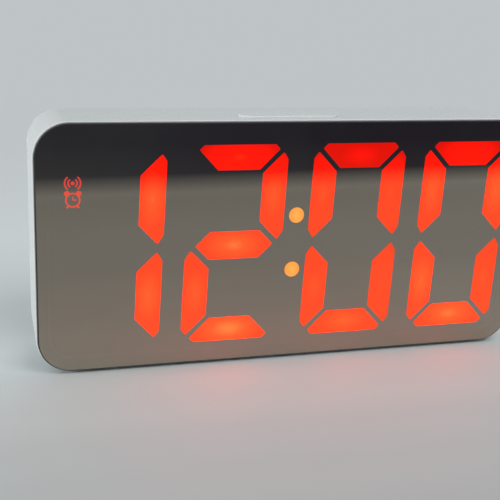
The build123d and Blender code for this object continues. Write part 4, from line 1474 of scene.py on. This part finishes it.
@dataclass
class Electronics:
    """The boards with their chips, solder, headers, ribbon and leads."""

    display: Display
    blocks: PointTree
    domes: PointTree
    ribbon: RibbonTree
    window_rise: float = 0.82
    window_size: Triple = (0.8, 0.1, 1.5)
    pad_spread: float = 0.95
    pad_size: Triple = (1.1, 0.7, 1.1)
    chips: tuple[float, ...] = (16.0, -40.0, 40.0)
    chip_rise: float = -4.0
    leg_count: int = 8
    leg_pitch: float = 1.27
    leg_spread: float = 4.2
    leg_rise: float = 0.28
    leg_size: Triple = (0.5, 0.6, 1.3)
    joint_spread: Point = (3.2, 2.2)
    joint_size: Triple = (1.5, 0.9, 1.5)
    header_x: float = -6.0
    header_height: float = 3.0
    display_header_rise: float = 13.5
    wire_count: int = 8
    wire_pitch: float = 1.0
    wire_radius: float = 0.5
    ribbon_steps: int = 28

    def build_light_chips(self) -> None:
        """Dress the light chips and add their windows and their solder."""
        dress(Finish.LED, "led_chips")
        spots: list[Point] = []
        for digit, centre in self.display.centres().items():
            for name in self.display.names(digit):
                spots += self.display.shape.chip_places(name, centre)
        windows = [from_front(x, up, BOARD_DEPTH - self.window_rise) for x, up in spots]
        self.blocks.scatter("chip_windows", windows, self.window_size, Finish.LED_WINDOW, Slot.LED)
        pads = [from_front(x, up + side * self.pad_spread, BOARD_BACK) for x, up in spots for side in (-1, 1)]
        self.domes.scatter("display_solder", pads, self.pad_size, Finish.SOLDER, Slot.STEEL)

    def build_chip_legs(self) -> None:
        """Add the bent legs of the control chips."""
        middle, depth = (self.leg_count - 1) / 2, BOARD_BACK + self.leg_rise
        legs = [
            from_front(x + (leg - middle) * self.leg_pitch, self.chip_rise + rise, depth)
            for x in self.chips
            for leg in range(self.leg_count)
            for rise in (-self.leg_spread, self.leg_spread)
        ]
        self.blocks.scatter("control_chip_legs", legs, self.leg_size, Finish.SOLDER, Slot.STEEL)

    def build_key_solder(self) -> None:
        """Add the solder points of the keys, the slider and the socket on the key board."""
        across, up = self.joint_spread
        places = [
            from_front(-x + shift, KEY_ROW_RISE + rise, KEY_BOARD_FRONT)
            for x in (*KEY_PLACES, SLIDER_PLACE, SOCKET_PLACE)
            for shift in (-across, across)
            for rise in (-up, up)
        ]
        self.domes.scatter("key_board_solder", places, self.joint_size, Finish.SOLDER, Slot.STEEL)

    def build_ribbon(self) -> None:
        """Lay the ribbon's wires between the two headers."""
        first = self.header_x - (self.wire_count - 1) * self.wire_pitch / 2
        start, end = BOARD_BACK + self.header_height, KEY_BOARD_FRONT - self.header_height
        path = []
        for step in range(self.ribbon_steps + 1):
            share = step / self.ribbon_steps
            eased = share * share * (3 - 2 * share)
            rise = self.display_header_rise + (KEY_ROW_RISE - self.display_header_rise) * eased
            path.append(from_front(first, rise, start + (end - start) * share))
        offset = (self.wire_pitch * MM, 0.0, 0.0)
        wires = self.ribbon.grow(
            "ribbon_wires", path, True, Finish.RIBBON,
            Wires=self.wire_count, Offset=offset, Radius=self.wire_radius * MM,
        )
        report(wires, Slot.RIBBON, "ribbon_cable")

    def build(self) -> None:
        """Dress the boards and add their small parts."""
        dress(Finish.BOARD, "display_board", "key_board", "snooze_board")
        dress(Finish.RESIN, "control_chips", "ribbon_headers")
        dress(Finish.SCREW, "display_screws", "snooze_screws", "key_board_screws")
        dress(Finish.STEEL, "crystal")
        self.build_light_chips()
        self.build_chip_legs()
        self.build_key_solder()
        self.build_ribbon()
        stand_in("snooze_lead", "snooze_wire", Finish.BLACK_WIRE, Slot.BLACK_WIRE)


@dataclass
class BatteryBay:
    """The three cells with their contacts and leads, the polarity marks and the tilting door."""

    blocks: PointTree
    cell_rises: tuple[float, ...] = (-23.8, -13.0, -2.2)
    mark_place: float = 17.0
    mark_depth: float = 21.35
    mark_size: float = 2.6
    mark_width: float = 0.5
    mark_height: float = 0.2

    def build_cells(self) -> None:
        """Build the three cells with their button ends left, right and left, and the marks at their ends."""
        flat, upright = [], []
        sleeves = (Finish.CELL_LEFT, Finish.CELL_RIGHT, Finish.CELL_LEFT)
        for number, (sleeve, rise) in enumerate(zip(sleeves, self.cell_rises), start=1):
            stand_in(f"battery_cell_{number}", f"dry_cell_{number}", sleeve, Slot.CELL)
            plus = sleeve.value.button_side * self.mark_place
            flat += [from_front(x, rise, self.mark_depth) for x in (plus, -plus)]
            upright.append(from_front(plus, rise, self.mark_depth))
        size, width, height = self.mark_size, self.mark_width, self.mark_height
        self.blocks.scatter("bay_marks_flat", flat, (size, height, width), Finish.WHITE, Slot.WHITE)
        self.blocks.scatter("bay_marks_upright", upright, (width, height, size), Finish.WHITE, Slot.WHITE)

    def build(self) -> None:
        """Build the bay and its door."""
        self.build_cells()
        dress(Finish.STEEL, "left_contacts", "right_contacts")
        stand_in("positive_lead", "positive_wire", Finish.RED_WIRE, Slot.RED_WIRE)
        stand_in("negative_lead", "negative_wire", Finish.BLACK_WIRE, Slot.BLACK_WIRE)
        stand_in("battery_door", "battery_door_leaf", Finish.WHITE, Slot.WHITE, Body.DOOR)


@dataclass(frozen=True)
class Lamp:
    """An oblong soft lamp that faces the clock, in metres and watts."""

    name: str
    place: Triple
    size: Point
    power: float
    seen: bool = True
    mirrored: bool = True

    def hang(self, aim: Triple) -> None:
        """Add the lamp to the scene, facing a point.

        Args:
            aim: The point.
        """
        light = bpy.data.lights.new(self.name, "AREA")
        light.shape = "RECTANGLE"
        light.size, light.size_y = self.size
        light.energy = self.power
        lamp = bpy.data.objects.new(self.name, light)
        lamp.location = self.place
        lamp.rotation_euler = (Vector(aim) - Vector(self.place)).to_track_quat("-Z", "Y").to_euler()
        lamp.visible_camera = self.seen
        lamp.visible_glossy = self.mirrored
        bpy.context.scene.collection.objects.link(lamp)


@dataclass
class Studio:
    """A pale floor with painted shade and light, soft lamps, a dark card that the mirror shows, and the
    camera, all in metres.
    """

    backdrop: Colour = (0.519, 0.554, 0.566)
    sky: Colour = (0.30, 0.305, 0.31)
    floor_colour: Colour = (0.80, 0.85, 0.85)
    floor_reach: float = 14.0
    fade_reach: Point = (0.16, 0.62)
    # Painted shade and light on the floor: grey levels by place from far in front of the clock to just behind
    # its front, darker towards the front and lighter beside and behind it.
    painted_shade_reach: Point = (-0.28, 0.02)
    painted_floor_shades: tuple[Point, ...] = (
        (0.0, 0.48), (0.40, 0.65), (0.52, 0.68), (0.63, 0.75), (0.70, 0.79), (0.78, 0.86), (0.84, 0.89),
        (0.90, 0.88), (0.95, 1.0), (1.0, 1.08),
    )
    card_left: Colour = (0.057, 0.065, 0.086)
    card_right: Colour = (0.036, 0.034, 0.056)
    card_turn: Point = (-0.05, 0.12)
    card_ends: tuple[Point, Point] = ((-0.40, -0.2405), (0.54, -0.280))
    card_foot: tuple[Point, ...] = ((0.0, 0.0), (0.38, 0.95), (1.0, 1.0))
    foot_height: float = 0.028
    card_fade: float = 0.2
    card_height: float = 0.45
    lamp_aim: Triple = (0.0, 0.0, 0.04)
    lamps: tuple[Lamp, ...] = (
        Lamp("overhead", (0.20, -0.50, 0.66), (0.5, 0.5), 2.7),
        Lamp("left fill", (-0.85, -0.02, 0.16), (0.4, 0.3), 3.5, mirrored=False),
        Lamp("back fill", (0.3, 0.9, 0.5), (0.5, 0.5), 1.3, seen=False, mirrored=False),
    )
    camera_place: Triple = (-0.101276, -0.303353, 0.125785)
    camera_turn: Triple = (73.6065, -2.206, -16.1925)
    lens: float = 70.374
    sensor: float = 36.0
    view_range: Point = (0.01, 40.0)

    def sheet(self, name: str, corners: Sequence[Triple], shading: Shading) -> Piece:
        """Lay a flat piece on four corners, and give it.

        Args:
            name: The piece's name.
            corners: Its four corners.
            shading: Its material.

        Returns:
            The piece.
        """
        mesh = bpy.data.meshes.new(name)
        mesh.from_pydata(corners, [], [(0, 1, 2, 3)])
        piece = linked(name, mesh, [shading.material])
        return piece

    def build_floor(self) -> None:
        """Lay the floor, with painted shade and light in its colour from front to back, which fades into the
        backdrop's colour far from the clock.
        """
        shading = Shading("pale table top")
        mottle = shading.noise(9.0, 3.0)
        base = shading.blended(mottle, self.floor_colour, shade(self.floor_colour, 1.02))
        # Painted shade and light: the floor's colour is multiplied by a grey ramp by its place from front to
        # back.
        near = shading.between(shading.axis("Y"), 0.0, 1.0, *self.painted_shade_reach)
        tint = shading.ramp(near, self.painted_floor_shades)
        shaded = shading.blended(1.0, base, tint, "MULTIPLY")
        shading.put({"Base Color": shaded, "Roughness": 0.55, "Specular IOR Level": 0.25})
        distance = shading.add("VectorMath", {0: shading.where}, "Value", operation="LENGTH")
        fade = shading.between(distance, 0.0, 1.0, *self.fade_reach, "SMOOTHSTEP")
        glow = shading.add("Emission", {"Color": self.backdrop, "Strength": 1.0})
        mixed = shading.add("MixShader", {0: fade, 1: shading.surface.outputs[0], 2: glow})
        shading.feed(shading.result, mixed)
        reach = self.floor_reach
        corners = [(x * reach, y * reach, 0.0) for x, y in ((-1, -1), (1, -1), (1, 1), (-1, 1))]
        self.sheet("studio_floor", corners, shading)

    def build_card(self) -> None:
        """Stand a dark card in front, which only reflections show, and fade its foot and ends out."""
        (x1, y1), (x2, y2) = self.card_ends
        shading = Shading("dark room card")
        place, height = shading.axis("X"), shading.axis("Z")
        across = shading.between(place, 0.0, 1.0, *self.card_turn)
        cloud = shading.between(shading.noise(16.0, 3.0), -0.35, 0.35, 0.3, 0.7)
        uneven = shading.add("Math", {0: across, 1: cloud}, operation="ADD", use_clamp=True)
        dark = shading.blended(uneven, self.card_left, self.card_right)
        left = shading.between(place, 0.0, 1.0, x1, x1 + self.card_fade)
        right = shading.between(place, 0.0, 1.0, x2, x2 - self.card_fade)
        faded = shading.blended(shading.times(left, right), self.backdrop, dark)
        glow = shading.add("Emission", {"Color": faded, "Strength": 1.0})
        risen = shading.between(height, 0.0, 1.0, 0.0, self.foot_height)
        cover = shading.ramp(risen, self.card_foot, "LINEAR")
        clear = shading.add("BsdfTransparent", {})
        shading.feed(shading.result, shading.add("MixShader", {0: cover, 1: clear, 2: glow}))
        top = self.card_height
        corners = [(x1, y1, 0.0), (x2, y2, 0.0), (x2, y2, top), (x1, y1, top)]
        card = self.sheet("studio_card", corners, shading)
        for ray in ("camera", "diffuse", "transmission", "shadow"):
            setattr(card, f"visible_{ray}", False)

    def build_world(self) -> None:
        """Light the scene evenly, and show the backdrop's colour to the camera and in reflections."""
        world = bpy.data.worlds.new("studio")
        world.use_nodes = True
        nodes = NodeMaker(world.node_tree)
        light = nodes.add("Background", {"Color": self.sky})
        seen = nodes.add("Background", {"Color": self.backdrop})
        camera, glossy = (nodes.add("LightPath", {}, f"Is {ray} Ray") for ray in ("Camera", "Glossy"))
        either = nodes.add("Math", {0: camera, 1: glossy}, operation="MAXIMUM")
        mixed = nodes.add("MixShader", {0: either, 1: light, 2: seen})
        nodes.add("OutputWorld", {"Surface": mixed})
        bpy.context.scene.world = world

    def build_camera(self) -> None:
        """Set the camera at the photograph's place and turn."""
        data = bpy.data.cameras.new("photo view")
        data.sensor_width = self.sensor
        data.lens = self.lens
        data.clip_start, data.clip_end = self.view_range
        camera = bpy.data.objects.new("photo view", data)
        camera.location = self.camera_place
        camera.rotation_euler = Euler([math.radians(turn) for turn in self.camera_turn], "XYZ")
        bpy.context.scene.collection.objects.link(camera)
        bpy.context.scene.camera = camera

    def build(self) -> None:
        """Build the studio."""
        self.build_floor()
        self.build_card()
        self.build_world()
        for lamp in self.lamps:
            lamp.hang(self.lamp_aim)
        self.build_camera()
        bpy.context.scene.view_settings.view_transform = "Standard"


def main() -> None:
    """Build the studio and every sub-assembly."""
    logging.basicConfig(level=logging.INFO, format="%(name)s: %(message)s")
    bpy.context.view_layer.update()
    blocks, domes = PointTree(Form.BLOCK), PointTree(Form.DOME)
    display = Display()
    Studio().build()
    FrontPanel().build()
    display.build()
    Case().build()
    Controls().build()
    Electronics(display, blocks, domes, RibbonTree()).build()
    BatteryBay(blocks).build()


if __name__ == "__main__":
    main()
